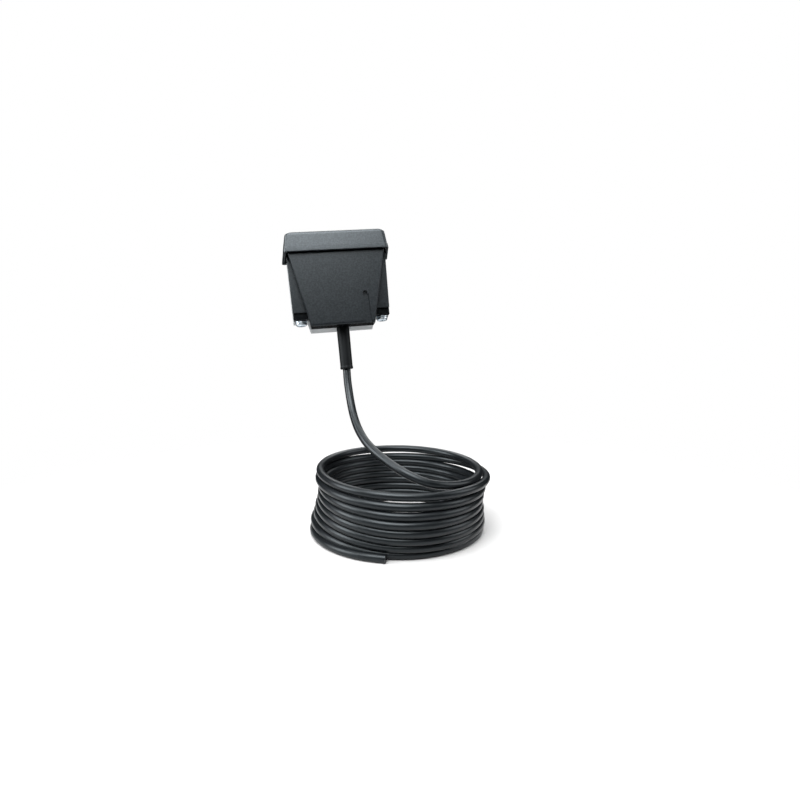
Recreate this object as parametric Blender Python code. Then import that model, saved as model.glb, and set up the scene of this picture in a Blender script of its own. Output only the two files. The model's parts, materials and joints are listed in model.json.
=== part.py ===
"""Cabled measuring head with a rain hood, and the coil of its own cable.

The head is two half shells, black in front and light grey behind, that meet on one parting plane. A hood cap
covers their top. Two long screws run up through the shells' ears into threaded inserts in the cap, and a strain
relief sleeve with a round cable leaves the underside. The cable curves down into a round coil.

Units are metres, +Z up, the front faces -Y. The origin is on the wall face, the flat back of the head, and the
head leans back and to its left over the level coil. Inside the head's own frame, x runs across, y runs back from
the front of the cover, and z runs up from the underside.
"""

import math

import bmesh
import bpy
from mathutils import Matrix, Vector

MM = 0.001
GAP = 0.3 * MM

# Pose of the head over the coil
HEAD_LEAN = math.radians(-8.2)
HEAD_ROLL = math.radians(-4.3)

# Head: overall
HEAD_DEPTH = 27.0 * MM
PARTING_Y = 12.4 * MM
REAR_START_Y = PARTING_Y + GAP
AXIS_Y = PARTING_Y + GAP / 2
WALL_POINT_Z = 25.0 * MM

# Head: front outline
COVER_BOTTOM_HALF = 19.9 * MM
COVER_TOP_HALF = 29.8 * MM
COVER_TOP_Z = 45.4 * MM
EAR_BOTTOM_HALF = 30.5 * MM
EAR_TOP_HALF = 31.2 * MM
REAR_FLARE = 1.0 * MM
REAR_DROP = 0.6 * MM
EAR_FRONT_Y = 6.5 * MM
EAR_BOTTOM_Z = 9.9 * MM
BOSS_FRONT_Y = 8.0 * MM
BOSS_BOTTOM_Z = 5.7 * MM
BOSS_INNER_HALF = 20.8 * MM
NECK_HALF = 29.2 * MM
NECK_FRONT_Y = 1.6 * MM
NECK_BACK_Y = 24.4 * MM
NECK_TOP_Z = 50.0 * MM

# Cavity of the two shells
CAVITY_BOTTOM_HALF = 16.2 * MM
CAVITY_TOP_HALF = 19.9 * MM
CAVITY_SHOULDER_Z = 17.0 * MM
CAVITY_BOTTOM_Z = 3.4 * MM
CAVITY_TOP_Z = 46.5 * MM
CAVITY_FRONT_Y = 2.2 * MM
CAVITY_BACK_Y = 22.6 * MM

# Seal between the shells
SEAL_INSET = 1.0 * MM
SEAL_WIDTH = 1.1 * MM
SEAL_DEPTH = 1.2 * MM
SEAL_CLEARANCE = 0.25 * MM
SEAL_OPENING_HALF = 5.4 * MM

# Groove in the cover's lower right
GROOVE_LEFT_X = 13.7 * MM
GROOVE_TOP_WIDTH = 3.1 * MM
GROOVE_BOTTOM_WIDTH = 3.8 * MM
GROOVE_TOP_Z = 18.0 * MM
GROOVE_DEPTH = 0.7 * MM
DIMPLE_X = 15.1 * MM
DIMPLE_Z = 18.6 * MM
DIMPLE_RADIUS = 1.4 * MM
DIMPLE_DEPTH = 1.6 * MM

# Hood cap
HOOD_BOTTOM_Z = 45.9 * MM
HOOD_TOP_Z = 58.2 * MM
HOOD_FRONT_HALVES = (32.4 * MM, 30.7 * MM)
HOOD_BACK_HALVES = (35.8 * MM, 34.1 * MM)
HOOD_FRONT_Y = -2.6 * MM
HOOD_BACK_Y = 26.6 * MM
HOOD_DRAFT_Y = 0.6 * MM
HOOD_CORNER = 2.6 * MM
HOOD_WALL = 1.7 * MM
HOOD_CEILING_Z = 56.0 * MM
HOOD_EDGE = 1.1 * MM
HOOD_BOSS_RADIUS = 4.3 * MM
HOOD_BOSS_BOTTOM_Z = 51.6 * MM
GASKET_BOTTOM_Z = NECK_TOP_Z + GAP
GASKET_TOP_Z = HOOD_BOSS_BOTTOM_Z - GAP
GASKET_INSET = 0.9 * MM
GASKET_WIDTH = 7.2 * MM

# Long fixing screws, M4, their washers, captive rings and inserts
SCREW_X = 25.9 * MM
SCREW_RADIUS = 2.0 * MM
SCREW_TOP_Z = 55.6 * MM
SCREW_CHANNEL = SCREW_RADIUS + GAP
WASHER_RADIUS = 3.75 * MM
WASHER_THICK = 0.6 * MM
PAN_RADIUS = 3.5 * MM
PAN_HEIGHT = 2.2 * MM
PAN_EDGE = 0.9 * MM
RECESS_WIDTH = 0.9 * MM
RECESS_LENGTH = 4.2 * MM
RECESS_DEPTH = 1.3 * MM
RING_Z = 14.0 * MM
RING_HALF_HEIGHT = 0.6 * MM
RING_OUTER = 3.2 * MM
INSERT_OUTER = 3.1 * MM
INSERT_LENGTH = 4.2 * MM

# Strain relief sleeve and the cable
CABLE_RADIUS = 2.5 * MM
SLEEVE_LENGTH = 27.0 * MM
SLEEVE_RADIUS = 4.1 * MM
SLEEVE_NECK = 3.8 * MM
SLEEVE_LIP = 1.6 * MM
SLEEVE_FLANGE_RADIUS = 5.4 * MM
SLEEVE_FLANGE_HEIGHT = 1.8 * MM
CABLE_INNER_TOP_Z = 13.0 * MM

# Cable clamp
CLAMP_HALF = 8.6 * MM
CLAMP_BOTTOM_Z = 7.0 * MM
CLAMP_TOP_Z = 11.4 * MM
CLAMP_BAR_FRONT_Y = 7.2 * MM
CLAMP_SCREW_X = 6.2 * MM
CLAMP_SADDLE_Y = AXIS_Y + CABLE_RADIUS + GAP
SMALL_SCREW_RADIUS = 1.0 * MM
SMALL_HEAD_RADIUS = 1.9 * MM
SMALL_HEAD_HEIGHT = 1.2 * MM

# Circuit board and what is on it
BOARD_HALF = 17.6 * MM
BOARD_BOTTOM_Z = 15.5 * MM
BOARD_TOP_Z = 44.0 * MM
BOARD_FRONT_Y = 15.6 * MM
BOARD_THICK = 1.6 * MM
PILLAR_X = 14.4 * MM
PILLAR_ZS = (18.6 * MM, 40.9 * MM)
PILLAR_RADIUS = 2.6 * MM
PART_BACK_Y = BOARD_FRONT_Y - GAP
TERMINAL_HALF = 8.4 * MM
TERMINAL_FRONT_Y = 8.0 * MM
TERMINAL_BOTTOM_Z = 17.2 * MM
TERMINAL_TOP_Z = 24.6 * MM
CORE_SPACING = 5.0 * MM
CORE_RADIUS = 0.65 * MM
CORE_HOLE_DEPTH = 2.6 * MM
SENSOR_RADIUS = 5.2 * MM
SENSOR_Z = 35.0 * MM
SENSOR_FRONT_Y = 7.6 * MM

# Wall plate
PLATE_HALF = 15.0 * MM
PLATE_BOTTOM_Z = 9.0 * MM
PLATE_TOP_Z = 41.0 * MM
PLATE_THICK = 1.9 * MM
PLATE_CORNER = 2.5 * MM
PLATE_HOLE_RADIUS = 2.2 * MM
PLATE_HOLE_ZS = (15.0 * MM, 35.0 * MM)
PLATE_SCREW_X = 10.8 * MM
PLATE_SCREW_TIP_Y = 20.0 * MM

# Free cable and coil, in world coordinates
FLOOR_Z = -150.5 * MM
COIL_X = 36.5 * MM
COIL_Y = -35.8 * MM
COIL_INNER = 47.0 * MM
COIL_OUTER = 58.4 * MM
COIL_HEIGHT = 42.4 * MM
CABLE_ROUTE = (
    (3.9, -21.8, -49.8),
    (4.3, -24.7, -58.8),
    (5.4, -29.8, -68.4),
    (7.5, -39.8, -79.6),
    (12.4, -53.7, -89.9),
    (19.3, -64.5, -96.0),
    (27.4, -75.2, -101.3),
    (35.3, -81.9, -105.0),
)
ROUTE_STEPS = 3

BLACK = ("black_plastic", (0.022, 0.024, 0.026), 0.45, 0.0)
GREY = ("grey_plastic", (0.46, 0.48, 0.49), 0.5, 0.0)
RUBBER = ("black_rubber", (0.012, 0.012, 0.013), 0.6, 0.0)
CABLE = ("cable_jacket", (0.018, 0.020, 0.022), 0.38, 0.0)
ZINC = ("zinc_steel", (0.66, 0.72, 0.76), 0.28, 1.0)
BRASS = ("brass", (0.75, 0.56, 0.25), 0.32, 1.0)
BOARD = ("board_green", (0.03, 0.16, 0.07), 0.5, 0.0)
TERMINAL = ("terminal_grey", (0.20, 0.22, 0.23), 0.5, 0.0)
CHIP = ("chip_black", (0.02, 0.02, 0.02), 0.4, 0.0)
CORES = {
    "brown": ("core_brown", (0.16, 0.07, 0.03), 0.45, 0.0),
    "white": ("core_white", (0.72, 0.72, 0.70), 0.45, 0.0),
    "green": ("core_green", (0.05, 0.24, 0.08), 0.45, 0.0),
}


def clear_scene():
    for obj in list(bpy.data.objects):
        bpy.data.objects.remove(obj, do_unlink=True)


def make_head_frame():
    """The empty that carries the head: its rotation is the pose, its location puts the wall point at the origin."""
    frame = bpy.data.objects.new("head_frame", None)
    bpy.context.scene.collection.objects.link(frame)
    frame.rotation_mode = "YXZ"
    frame.rotation_euler = (HEAD_LEAN, HEAD_ROLL, 0.0)
    turned = Matrix.Rotation(HEAD_LEAN, 3, "X") @ Matrix.Rotation(HEAD_ROLL, 3, "Y")
    frame.location = -(turned @ Vector((0.0, HEAD_DEPTH, WALL_POINT_Z)))
    return frame


def material(spec):
    name, colour, roughness, metallic = spec
    found = bpy.data.materials.get(name)
    if found:
        return found
    made = bpy.data.materials.new(name)
    made.use_nodes = True
    shader = made.node_tree.nodes["Principled BSDF"]
    shader.inputs["Base Color"].default_value = (*colour, 1.0)
    shader.inputs["Roughness"].default_value = roughness
    shader.inputs["Metallic"].default_value = metallic
    return made


def object_from(name, bm, spec=None, at=(0.0, 0.0, 0.0)):
    """A mesh object in the head's frame. With no material it is a helper, hidden from the render."""
    bmesh.ops.remove_doubles(bm, verts=bm.verts, dist=0.0001 * MM)
    bmesh.ops.recalc_face_normals(bm, faces=bm.faces)
    mesh = bpy.data.meshes.new(name)
    bm.to_mesh(mesh)
    bm.free()
    obj = bpy.data.objects.new(name, mesh)
    bpy.context.scene.collection.objects.link(obj)
    obj.location = at
    obj.parent = bpy.data.objects["head_frame"]
    if spec:
        mesh.materials.append(material(spec))
    else:
        obj.hide_render = True
        obj.display_type = "WIRE"
    return obj


def smooth(obj, angle=30.0):
    obj.data.shade_smooth()
    obj.data.set_sharp_from_angle(angle=math.radians(angle))
    return obj


def extruded(outline, start, travel):
    """A bmesh prism: the outline's points, extruded along the travel vector."""
    bm = bmesh.new()
    face = bm.faces.new([bm.verts.new(Vector(point) + Vector(start)) for point in outline])
    result = bmesh.ops.extrude_face_region(bm, geom=[face])
    moved = [item for item in result["geom"] if isinstance(item, bmesh.types.BMVert)]
    bmesh.ops.translate(bm, verts=moved, vec=travel)
    return bm


def front_prism(name, outline_xz, y0, y1, spec=None):
    """A prism whose outline is drawn on the front, extruded from y0 back to y1."""
    outline = [(x, 0.0, z) for x, z in outline_xz]
    return object_from(name, extruded(outline, (0.0, y0, 0.0), (0.0, y1 - y0, 0.0)), spec)


def front_loft(name, near, far, y0, y1, spec=None):
    """A solid between two (x, z) outlines drawn on the front, one at y0 and one at y1."""
    bm = bmesh.new()
    rows = [[bm.verts.new((x, y, z)) for x, z in outline] for outline, y in ((near, y0), (far, y1))]
    for row in rows:
        bm.faces.new(row)
    for i in range(len(near)):
        j = (i + 1) % len(near)
        bm.faces.new((rows[0][i], rows[0][j], rows[1][j], rows[1][i]))
    return object_from(name, bm, spec)


def box(name, x, y, z, spec=None):
    """A box from its (low, high) pairs."""
    outline = [(x[0], z[0]), (x[1], z[0]), (x[1], z[1]), (x[0], z[1])]
    return front_prism(name, outline, y[0], y[1], spec)


def turned(name, profile, at, spec=None, steps=24, along="Z", ring=False):
    """A turned piece: the profile's (radius, height) points spun about the axis through the point at."""
    bm = bmesh.new()
    verts = [bm.verts.new((radius, 0.0, height)) for radius, height in profile]
    edges = [bm.edges.new(pair) for pair in zip(verts, verts[1:])]
    if ring:
        edges.append(bm.edges.new((verts[-1], verts[0])))
    bmesh.ops.spin(
        bm,
        geom=verts + edges,
        cent=(0.0, 0.0, 0.0),
        axis=(0.0, 0.0, 1.0),
        angle=2.0 * math.pi,
        steps=steps,
        use_merge=True,
    )
    if along == "Y":
        bmesh.ops.rotate(bm, verts=bm.verts, cent=(0, 0, 0), matrix=Matrix.Rotation(math.radians(-90.0), 3, "X"))
    bmesh.ops.remove_doubles(bm, verts=bm.verts, dist=0.0001 * MM)
    bmesh.ops.dissolve_degenerate(bm, edges=bm.edges, dist=0.0001 * MM)
    return object_from(name, bm, spec, at)


def rod(name, radius, start, end, at, spec=None, steps=20, along="Z"):
    """A plain cylinder from start to end along its axis."""
    return turned(name, [(0.0, start), (radius, start), (radius, end), (0.0, end)], at, spec, steps, along)


def combine(target, other, operation):
    modifier = target.modifiers.new(f"{operation.lower()}_{other.name}", "BOOLEAN")
    modifier.operation = operation
    modifier.solver = "EXACT"
    modifier.object = other


def add(target, *others):
    for other in others:
        combine(target, other, "UNION")


def cut(target, *others):
    for other in others:
        combine(target, other, "DIFFERENCE")


def soften(target, width, segments=2):
    modifier = target.modifiers.new("soften", "BEVEL")
    modifier.width = width
    modifier.segments = segments
    modifier.limit_method = "ANGLE"
    modifier.angle_limit = math.radians(30.0)


def sides():
    return (("left", -1.0), ("right", 1.0))


def slant_half(z):
    """Half width of the cover at height z."""
    return COVER_BOTTOM_HALF + (COVER_TOP_HALF - COVER_BOTTOM_HALF) * z / COVER_TOP_Z


def ear_half(z):
    """Half width across the ears at height z."""
    share = (z - BOSS_BOTTOM_Z) / (COVER_TOP_Z - BOSS_BOTTOM_Z)
    return EAR_BOTTOM_HALF + (EAR_TOP_HALF - EAR_BOTTOM_HALF) * share


def symmetric(half_outline):
    """A closed outline from its right half, listed bottom to top."""
    return list(half_outline) + [(-x, z) for x, z in reversed(half_outline)]


def cover_outline():
    return symmetric([(COVER_BOTTOM_HALF, 0.0), (COVER_TOP_HALF, COVER_TOP_Z)])


def cavity_outline(grow=0.0):
    return symmetric(
        [
            (CAVITY_BOTTOM_HALF + grow, CAVITY_BOTTOM_Z - grow),
            (CAVITY_TOP_HALF + grow, CAVITY_SHOULDER_Z),
            (CAVITY_TOP_HALF + grow, CAVITY_TOP_Z + grow),
        ]
    )


def neck_box(name, y0, y1):
    return box(name, (-NECK_HALF, NECK_HALF), (y0, y1), (COVER_TOP_Z - 2 * MM, NECK_TOP_Z))


def screw_channel(name, sign):
    """The long screw's clearance, with the pocket of its captive ring and a through hole at both ends."""
    pocket = RING_HALF_HEIGHT + GAP
    profile = [
        (0.0, 0.0),
        (SCREW_CHANNEL, 0.0),
        (SCREW_CHANNEL, RING_Z - pocket),
        (RING_OUTER + GAP, RING_Z - pocket),
        (RING_OUTER + GAP, RING_Z + pocket),
        (SCREW_CHANNEL, RING_Z + pocket),
        (SCREW_CHANNEL, NECK_TOP_Z + 1 * MM),
        (0.0, NECK_TOP_Z + 1 * MM),
    ]
    return turned(name, profile, (sign * SCREW_X, AXIS_Y, 0.0), steps=16)


def make_screw_channels():
    return [screw_channel(f"channel_{side}", sign) for side, sign in sides()]


def make_sleeve_hole():
    return rod("sleeve_hole", SLEEVE_NECK + GAP, -1 * MM, CAVITY_BOTTOM_Z + 0.5 * MM, (0.0, AXIS_Y, 0.0))


def front_shell(channels, sleeve_hole):
    """The black half: the sloping cover, the ears behind it, the screw bosses below them and the neck above."""
    shell = front_prism("front_shell", cover_outline(), 0.0, PARTING_Y, BLACK)
    soften(shell, 0.7 * MM)
    ear_outline = symmetric(
        [(ear_half(EAR_BOTTOM_Z), EAR_BOTTOM_Z), (ear_half(COVER_TOP_Z), COVER_TOP_Z - 0.1 * MM)]
    )
    ears = front_prism("front_ears", ear_outline, EAR_FRONT_Y, PARTING_Y)
    soften(ears, 0.5 * MM, 1)
    add(shell, ears)
    for side, sign in sides():
        low, high = sorted((sign * BOSS_INNER_HALF, sign * EAR_BOTTOM_HALF))
        boss = box(
            f"front_boss_{side}", (low, high), (BOSS_FRONT_Y, PARTING_Y), (BOSS_BOTTOM_Z, EAR_BOTTOM_Z + 2 * MM)
        )
        add(shell, boss)
    add(shell, neck_box("front_neck", NECK_FRONT_Y, PARTING_Y))
    cut(shell, front_prism("front_cavity", cavity_outline(), CAVITY_FRONT_Y, PARTING_Y + 1 * MM))
    cut(shell, *channels, sleeve_hole)
    groove_outline = [
        (GROOVE_LEFT_X + GROOVE_BOTTOM_WIDTH, -1 * MM),
        (GROOVE_LEFT_X + GROOVE_TOP_WIDTH, GROOVE_TOP_Z),
        (GROOVE_LEFT_X, GROOVE_TOP_Z),
        (GROOVE_LEFT_X, -1 * MM),
    ]
    cut(shell, front_prism("groove_cutter", groove_outline, -1 * MM, GROOVE_DEPTH))
    cut(shell, rod("dimple_cutter", DIMPLE_RADIUS, -1 * MM, DIMPLE_DEPTH, (DIMPLE_X, 0.0, DIMPLE_Z), along="Y"))
    return smooth(shell)


def saddle_and_pillars(shell):
    """The rear shell's inner standoffs: the cable saddle and the board's four pillars."""
    inner_wall = CAVITY_BACK_Y + 1 * MM
    saddle = box(
        "cable_saddle", (-CLAMP_HALF, CLAMP_HALF), (CLAMP_SADDLE_Y, inner_wall), (CLAMP_BOTTOM_Z, CLAMP_TOP_Z)
    )
    add(shell, saddle)
    for row, z in enumerate(PILLAR_ZS):
        for side, sign in sides():
            at = (sign * PILLAR_X, 0.0, z)
            start = BOARD_FRONT_Y + BOARD_THICK + GAP
            add(shell, rod(f"pillar_{side}_{row}", PILLAR_RADIUS, start, inner_wall, at, steps=12, along="Y"))
            cut(shell, rod(f"pillar_hole_{side}_{row}", 1.3 * MM, start - 1 * MM, 22 * MM, at, steps=12, along="Y"))
    for side, sign in sides():
        at = (sign * CLAMP_SCREW_X, 0.0, (CLAMP_BOTTOM_Z + CLAMP_TOP_Z) / 2)
        cut(shell, rod(f"saddle_hole_{side}", 1.3 * MM, CLAMP_SADDLE_Y - 1 * MM, 21 * MM, at, steps=12, along="Y"))


def seal_prism(name, clearance, y0, y1):
    """The seal's ring around the cavity, open where the cable leaves, or with a clearance its groove."""
    outer = front_prism(name, cavity_outline(SEAL_INSET + SEAL_WIDTH + clearance), y0, y1)
    inner = front_prism(f"{name}_inner", cavity_outline(SEAL_INSET - clearance), y0 - 1 * MM, y1 + 1 * MM)
    opening = SEAL_OPENING_HALF - clearance
    gate = box(f"{name}_gate", (-opening, opening), (y0 - 1 * MM, y1 + 1 * MM), (-5 * MM, CAVITY_BOTTOM_Z + 1 * MM))
    cut(outer, inner, gate)
    return outer


def rear_shell(channels, sleeve_hole):
    """The light grey half: the same outline as the cover and ears, flat at the back, with the plate's recess."""
    near = [
        (COVER_BOTTOM_HALF, 0.0),
        (slant_half(BOSS_BOTTOM_Z), BOSS_BOTTOM_Z),
        (EAR_BOTTOM_HALF, BOSS_BOTTOM_Z),
        (ear_half(COVER_TOP_Z), COVER_TOP_Z - 0.1 * MM),
    ]
    far = [(x + REAR_FLARE, z) for x, z in near]
    far[0] = (COVER_BOTTOM_HALF + REAR_DROP, -REAR_DROP)
    shell = front_loft("rear_shell", symmetric(near), symmetric(far), REAR_START_Y, HEAD_DEPTH, GREY)
    soften(shell, 0.5 * MM, 1)
    add(shell, neck_box("rear_neck", REAR_START_Y, NECK_BACK_Y))
    cut(shell, front_prism("rear_cavity", cavity_outline(), REAR_START_Y - 1 * MM, CAVITY_BACK_Y))
    cut(shell, *channels, sleeve_hole)
    cut(shell, seal_prism("seal_groove", SEAL_CLEARANCE, REAR_START_Y - 1 * MM, REAR_START_Y + SEAL_DEPTH + GAP))
    saddle_and_pillars(shell)
    recess = PLATE_THICK + GAP
    cut(shell, front_prism("plate_recess", plate_outline(GAP), HEAD_DEPTH - recess, HEAD_DEPTH + 1 * MM))
    for side, sign in sides():
        at = (sign * PLATE_SCREW_X, 0.0, WALL_POINT_Z)
        add(shell, rod(f"plate_boss_{side}", 2.8 * MM, 18.4 * MM, CAVITY_BACK_Y + 1 * MM, at, steps=12, along="Y"))
        cut(shell, rod(f"plate_screw_hole_{side}", 1.3 * MM, 19.6 * MM, HEAD_DEPTH, at, steps=12, along="Y"))
    return smooth(shell)


def shell_seal():
    seal = seal_prism("shell_seal", 0.0, REAR_START_Y, REAR_START_Y + SEAL_DEPTH)
    seal.hide_render = False
    seal.display_type = "TEXTURED"
    seal.data.materials.append(material(RUBBER))
    return seal


def rounded_outline(half_x, low, high, radius, steps=4, back_radius=None):
    """Points round a rectangle with arcs at its corners, anticlockwise from the right side's lower corner."""
    back = radius if back_radius is None else back_radius
    corners = (
        (half_x - radius, low + radius, radius, -90.0),
        (half_x - back, high - back, back, 0.0),
        (back - half_x, high - back, back, 90.0),
        (radius - half_x, low + radius, radius, 180.0),
    )
    points = []
    for x, y, corner_radius, first in corners:
        for step in range(steps + 1):
            angle = math.radians(first + 90.0 * step / steps)
            points.append((x + corner_radius * math.cos(angle), y + corner_radius * math.sin(angle)))
    return points


def plate_outline(grow=0.0):
    return rounded_outline(PLATE_HALF + grow, PLATE_BOTTOM_Z - grow, PLATE_TOP_Z + grow, PLATE_CORNER + grow)


def wall_plate():
    """The thin plate that the wall screws hold, flush with the head's back."""
    plate = front_prism("wall_plate", plate_outline(), HEAD_DEPTH - PLATE_THICK, HEAD_DEPTH, GREY)
    for row, z in enumerate(PLATE_HOLE_ZS):
        cut(plate, rod(f"wall_hole_{row}", PLATE_HOLE_RADIUS, 24 * MM, 28 * MM, (0.0, 0.0, z), along="Y"))
    for side, sign in sides():
        profile = [
            (0.0, 24 * MM),
            (1.3 * MM, 24 * MM),
            (1.3 * MM, 25.5 * MM),
            (2.7 * MM, 26.9 * MM),
            (2.7 * MM, 28 * MM),
            (0.0, 28 * MM),
        ]
        cut(plate, turned(f"plate_sink_{side}", profile, (sign * PLATE_SCREW_X, 0.0, WALL_POINT_Z), along="Y"))
    return smooth(plate)


def plate_screw(side, sign):
    """Countersunk screw that holds the wall plate in the rear shell."""
    profile = [
        (0.0, PLATE_SCREW_TIP_Y),
        (SMALL_SCREW_RADIUS, PLATE_SCREW_TIP_Y),
        (SMALL_SCREW_RADIUS, 25.6 * MM),
        (2.3 * MM, 26.85 * MM),
        (0.0, 26.85 * MM),
    ]
    screw = turned(f"plate_screw_{side}", profile, (sign * PLATE_SCREW_X, 0.0, WALL_POINT_Z), ZINC, 16, "Y")
    return smooth(screw)


def loft(name, lower, upper, z0, z1, spec=None):
    """A solid between two outlines with the same number of points, one above the other."""
    bm = bmesh.new()
    low = [bm.verts.new((x, y, z0)) for x, y in lower]
    high = [bm.verts.new((x, y, z1)) for x, y in upper]
    bm.faces.new(low)
    bm.faces.new(high)
    for i in range(len(low)):
        j = (i + 1) % len(low)
        bm.faces.new((low[i], low[j], high[j], high[i]))
    return object_from(name, bm, spec)


def hood_section(z, inset=0.0):
    """The hood's outline at height z: it narrows upwards, and widens from its front to its back."""
    share = (z - HOOD_BOTTOM_Z) / (HOOD_TOP_Z - HOOD_BOTTOM_Z)
    near, far = (low + (high - low) * share - inset for low, high in (HOOD_FRONT_HALVES, HOOD_BACK_HALVES))
    front = HOOD_FRONT_Y + HOOD_DRAFT_Y * share + inset
    back = HOOD_BACK_Y - inset
    points = rounded_outline(far, front, back, HOOD_CORNER - inset / 2, 4, 1.6 * MM)
    return [(x * (near + (far - near) * (y - front) / (back - front)) / far, y) for x, y in points]


def hood_cap():
    """The rain hood: a deep cap with draft on its walls, open below, with two bosses for the inserts."""
    cap = loft(
        "hood_cap", hood_section(HOOD_BOTTOM_Z), hood_section(HOOD_TOP_Z), HOOD_BOTTOM_Z, HOOD_TOP_Z, BLACK
    )
    soften(cap, HOOD_EDGE, 3)
    below = HOOD_BOTTOM_Z - 2 * MM
    inside = loft(
        "hood_inside", hood_section(below, HOOD_WALL), hood_section(HOOD_CEILING_Z, HOOD_WALL), below, HOOD_CEILING_Z
    )
    cut(cap, inside)
    for side, sign in sides():
        at = (sign * SCREW_X, AXIS_Y, 0.0)
        add(cap, rod(f"hood_boss_{side}", HOOD_BOSS_RADIUS, HOOD_BOSS_BOTTOM_Z, HOOD_CEILING_Z + 0.5 * MM, at, steps=20))
        top = HOOD_BOSS_BOTTOM_Z + INSERT_LENGTH + 2 * GAP
        cut(cap, rod(f"insert_hole_{side}", INSERT_OUTER + GAP, HOOD_BOSS_BOTTOM_Z - 1 * MM, top, at, steps=20))
    return smooth(cap)


def hood_gasket():
    """The flat gasket that the cap's bosses press onto the shells' top."""
    outline = rounded_outline(NECK_HALF - GASKET_INSET, NECK_FRONT_Y + GASKET_INSET, NECK_BACK_Y - GASKET_INSET, 1.5 * MM)
    gasket = loft("hood_gasket", outline, outline, GASKET_BOTTOM_Z, GASKET_TOP_Z, RUBBER)
    inner = GASKET_INSET + GASKET_WIDTH
    window = box(
        "gasket_window",
        (-(NECK_HALF - inner), NECK_HALF - inner),
        (NECK_FRONT_Y + 5 * MM, NECK_BACK_Y - 5 * MM),
        (GASKET_BOTTOM_Z - 1 * MM, GASKET_TOP_Z + 1 * MM),
    )
    cut(gasket, window)
    for side, sign in sides():
        at = (sign * SCREW_X, AXIS_Y, 0.0)
        cut(gasket, rod(f"gasket_hole_{side}", SCREW_CHANNEL, GASKET_BOTTOM_Z - 1 * MM, GASKET_TOP_Z + 1 * MM, at))
    return smooth(gasket)


def threaded_insert(side, sign):
    """Brass insert in the cap's boss, with two grooves round it that hold it in the plastic."""
    low = HOOD_BOSS_BOTTOM_Z + GAP
    bite = 0.3 * MM
    profile = [(SCREW_CHANNEL, low), (INSERT_OUTER, low)]
    for band in (1, 3):
        start = low + INSERT_LENGTH * band / 5
        end = low + INSERT_LENGTH * (band + 1) / 5
        profile += [(INSERT_OUTER, start), (INSERT_OUTER - bite, start)]
        profile += [(INSERT_OUTER - bite, end), (INSERT_OUTER, end)]
    profile += [(INSERT_OUTER, low + INSERT_LENGTH), (SCREW_CHANNEL, low + INSERT_LENGTH)]
    insert = turned(f"insert_{side}", profile, (sign * SCREW_X, AXIS_Y, 0.0), BRASS, 20, ring=True)
    return smooth(insert)


def cross_recess(name, depth_from, depth_to, at):
    """Two crossed slots, from the head's face inwards."""
    slots = []
    for turn in (0, 1):
        x = RECESS_LENGTH / 2 if turn == 0 else RECESS_WIDTH / 2
        y = RECESS_WIDTH / 2 if turn == 0 else RECESS_LENGTH / 2
        slot = box(f"{name}_{turn}", (-x, x), (-y, y), (depth_from, depth_to))
        slot.location = at
        slots.append(slot)
    return slots


def fixing_screw(side, sign):
    """Long pan head screw, its head below the boss and its end in the cap's insert."""
    head_top = BOSS_BOTTOM_Z - WASHER_THICK - 2 * GAP
    head_bottom = head_top - PAN_HEIGHT
    profile = [
        (0.0, head_bottom),
        (PAN_RADIUS * 0.62, head_bottom),
        (PAN_RADIUS * 0.88, head_bottom + PAN_EDGE * 0.45),
        (PAN_RADIUS, head_bottom + PAN_EDGE * 1.2),
        (PAN_RADIUS, head_top),
        (SCREW_RADIUS, head_top),
        (SCREW_RADIUS, SCREW_TOP_Z - 0.5 * MM),
        (SCREW_RADIUS - 0.5 * MM, SCREW_TOP_Z),
        (0.0, SCREW_TOP_Z),
    ]
    at = (sign * SCREW_X, AXIS_Y, 0.0)
    screw = turned(f"fixing_screw_{side}", profile, at, ZINC, 28)
    cut(screw, *cross_recess(f"recess_{side}", head_bottom - 1 * MM, head_bottom + RECESS_DEPTH, at))
    return smooth(screw)


def washer(side, sign):
    top = BOSS_BOTTOM_Z - GAP
    low = top - WASHER_THICK
    profile = [(SCREW_CHANNEL, low), (WASHER_RADIUS, low), (WASHER_RADIUS, top), (SCREW_CHANNEL, top)]
    return smooth(turned(f"washer_{side}", profile, (sign * SCREW_X, AXIS_Y, 0.0), ZINC, 28, ring=True))


def captive_ring(side, sign):
    """Rubber ring that keeps the loosened screw in its channel."""
    middle = (SCREW_CHANNEL + RING_OUTER) / 2
    half = (RING_OUTER - SCREW_CHANNEL) / 2
    profile = []
    for step in range(8):
        angle = 2.0 * math.pi * step / 8
        profile.append((middle + half * math.cos(angle), RING_Z + RING_HALF_HEIGHT * math.sin(angle)))
    return smooth(turned(f"captive_ring_{side}", profile, (sign * SCREW_X, AXIS_Y, 0.0), RUBBER, 20, ring=True), 80)


def cable_sleeve():
    """The strain relief: a long soft sleeve with a lip at its mouth and a flange that the shells trap."""
    bore = CABLE_RADIUS + GAP
    flange_low = CAVITY_BOTTOM_Z + GAP
    profile = [
        (bore, -SLEEVE_LENGTH),
        (SLEEVE_RADIUS - 0.3 * MM, -SLEEVE_LENGTH),
        (SLEEVE_RADIUS, -SLEEVE_LENGTH + 0.4 * MM),
        (SLEEVE_RADIUS, -SLEEVE_LENGTH + SLEEVE_LIP),
        (SLEEVE_RADIUS - 0.35 * MM, -SLEEVE_LENGTH + SLEEVE_LIP + 0.5 * MM),
        (SLEEVE_RADIUS - 0.2 * MM, -SLEEVE_LENGTH / 2),
        (SLEEVE_RADIUS, -2.0 * MM),
        (SLEEVE_RADIUS, -GAP),
        (SLEEVE_NECK, -GAP),
        (SLEEVE_NECK, flange_low),
        (SLEEVE_FLANGE_RADIUS, flange_low),
        (SLEEVE_FLANGE_RADIUS, flange_low + SLEEVE_FLANGE_HEIGHT),
        (bore, flange_low + SLEEVE_FLANGE_HEIGHT),
    ]
    return smooth(turned("cable_sleeve", profile, (0.0, AXIS_Y, 0.0), RUBBER, 24, ring=True))


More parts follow.
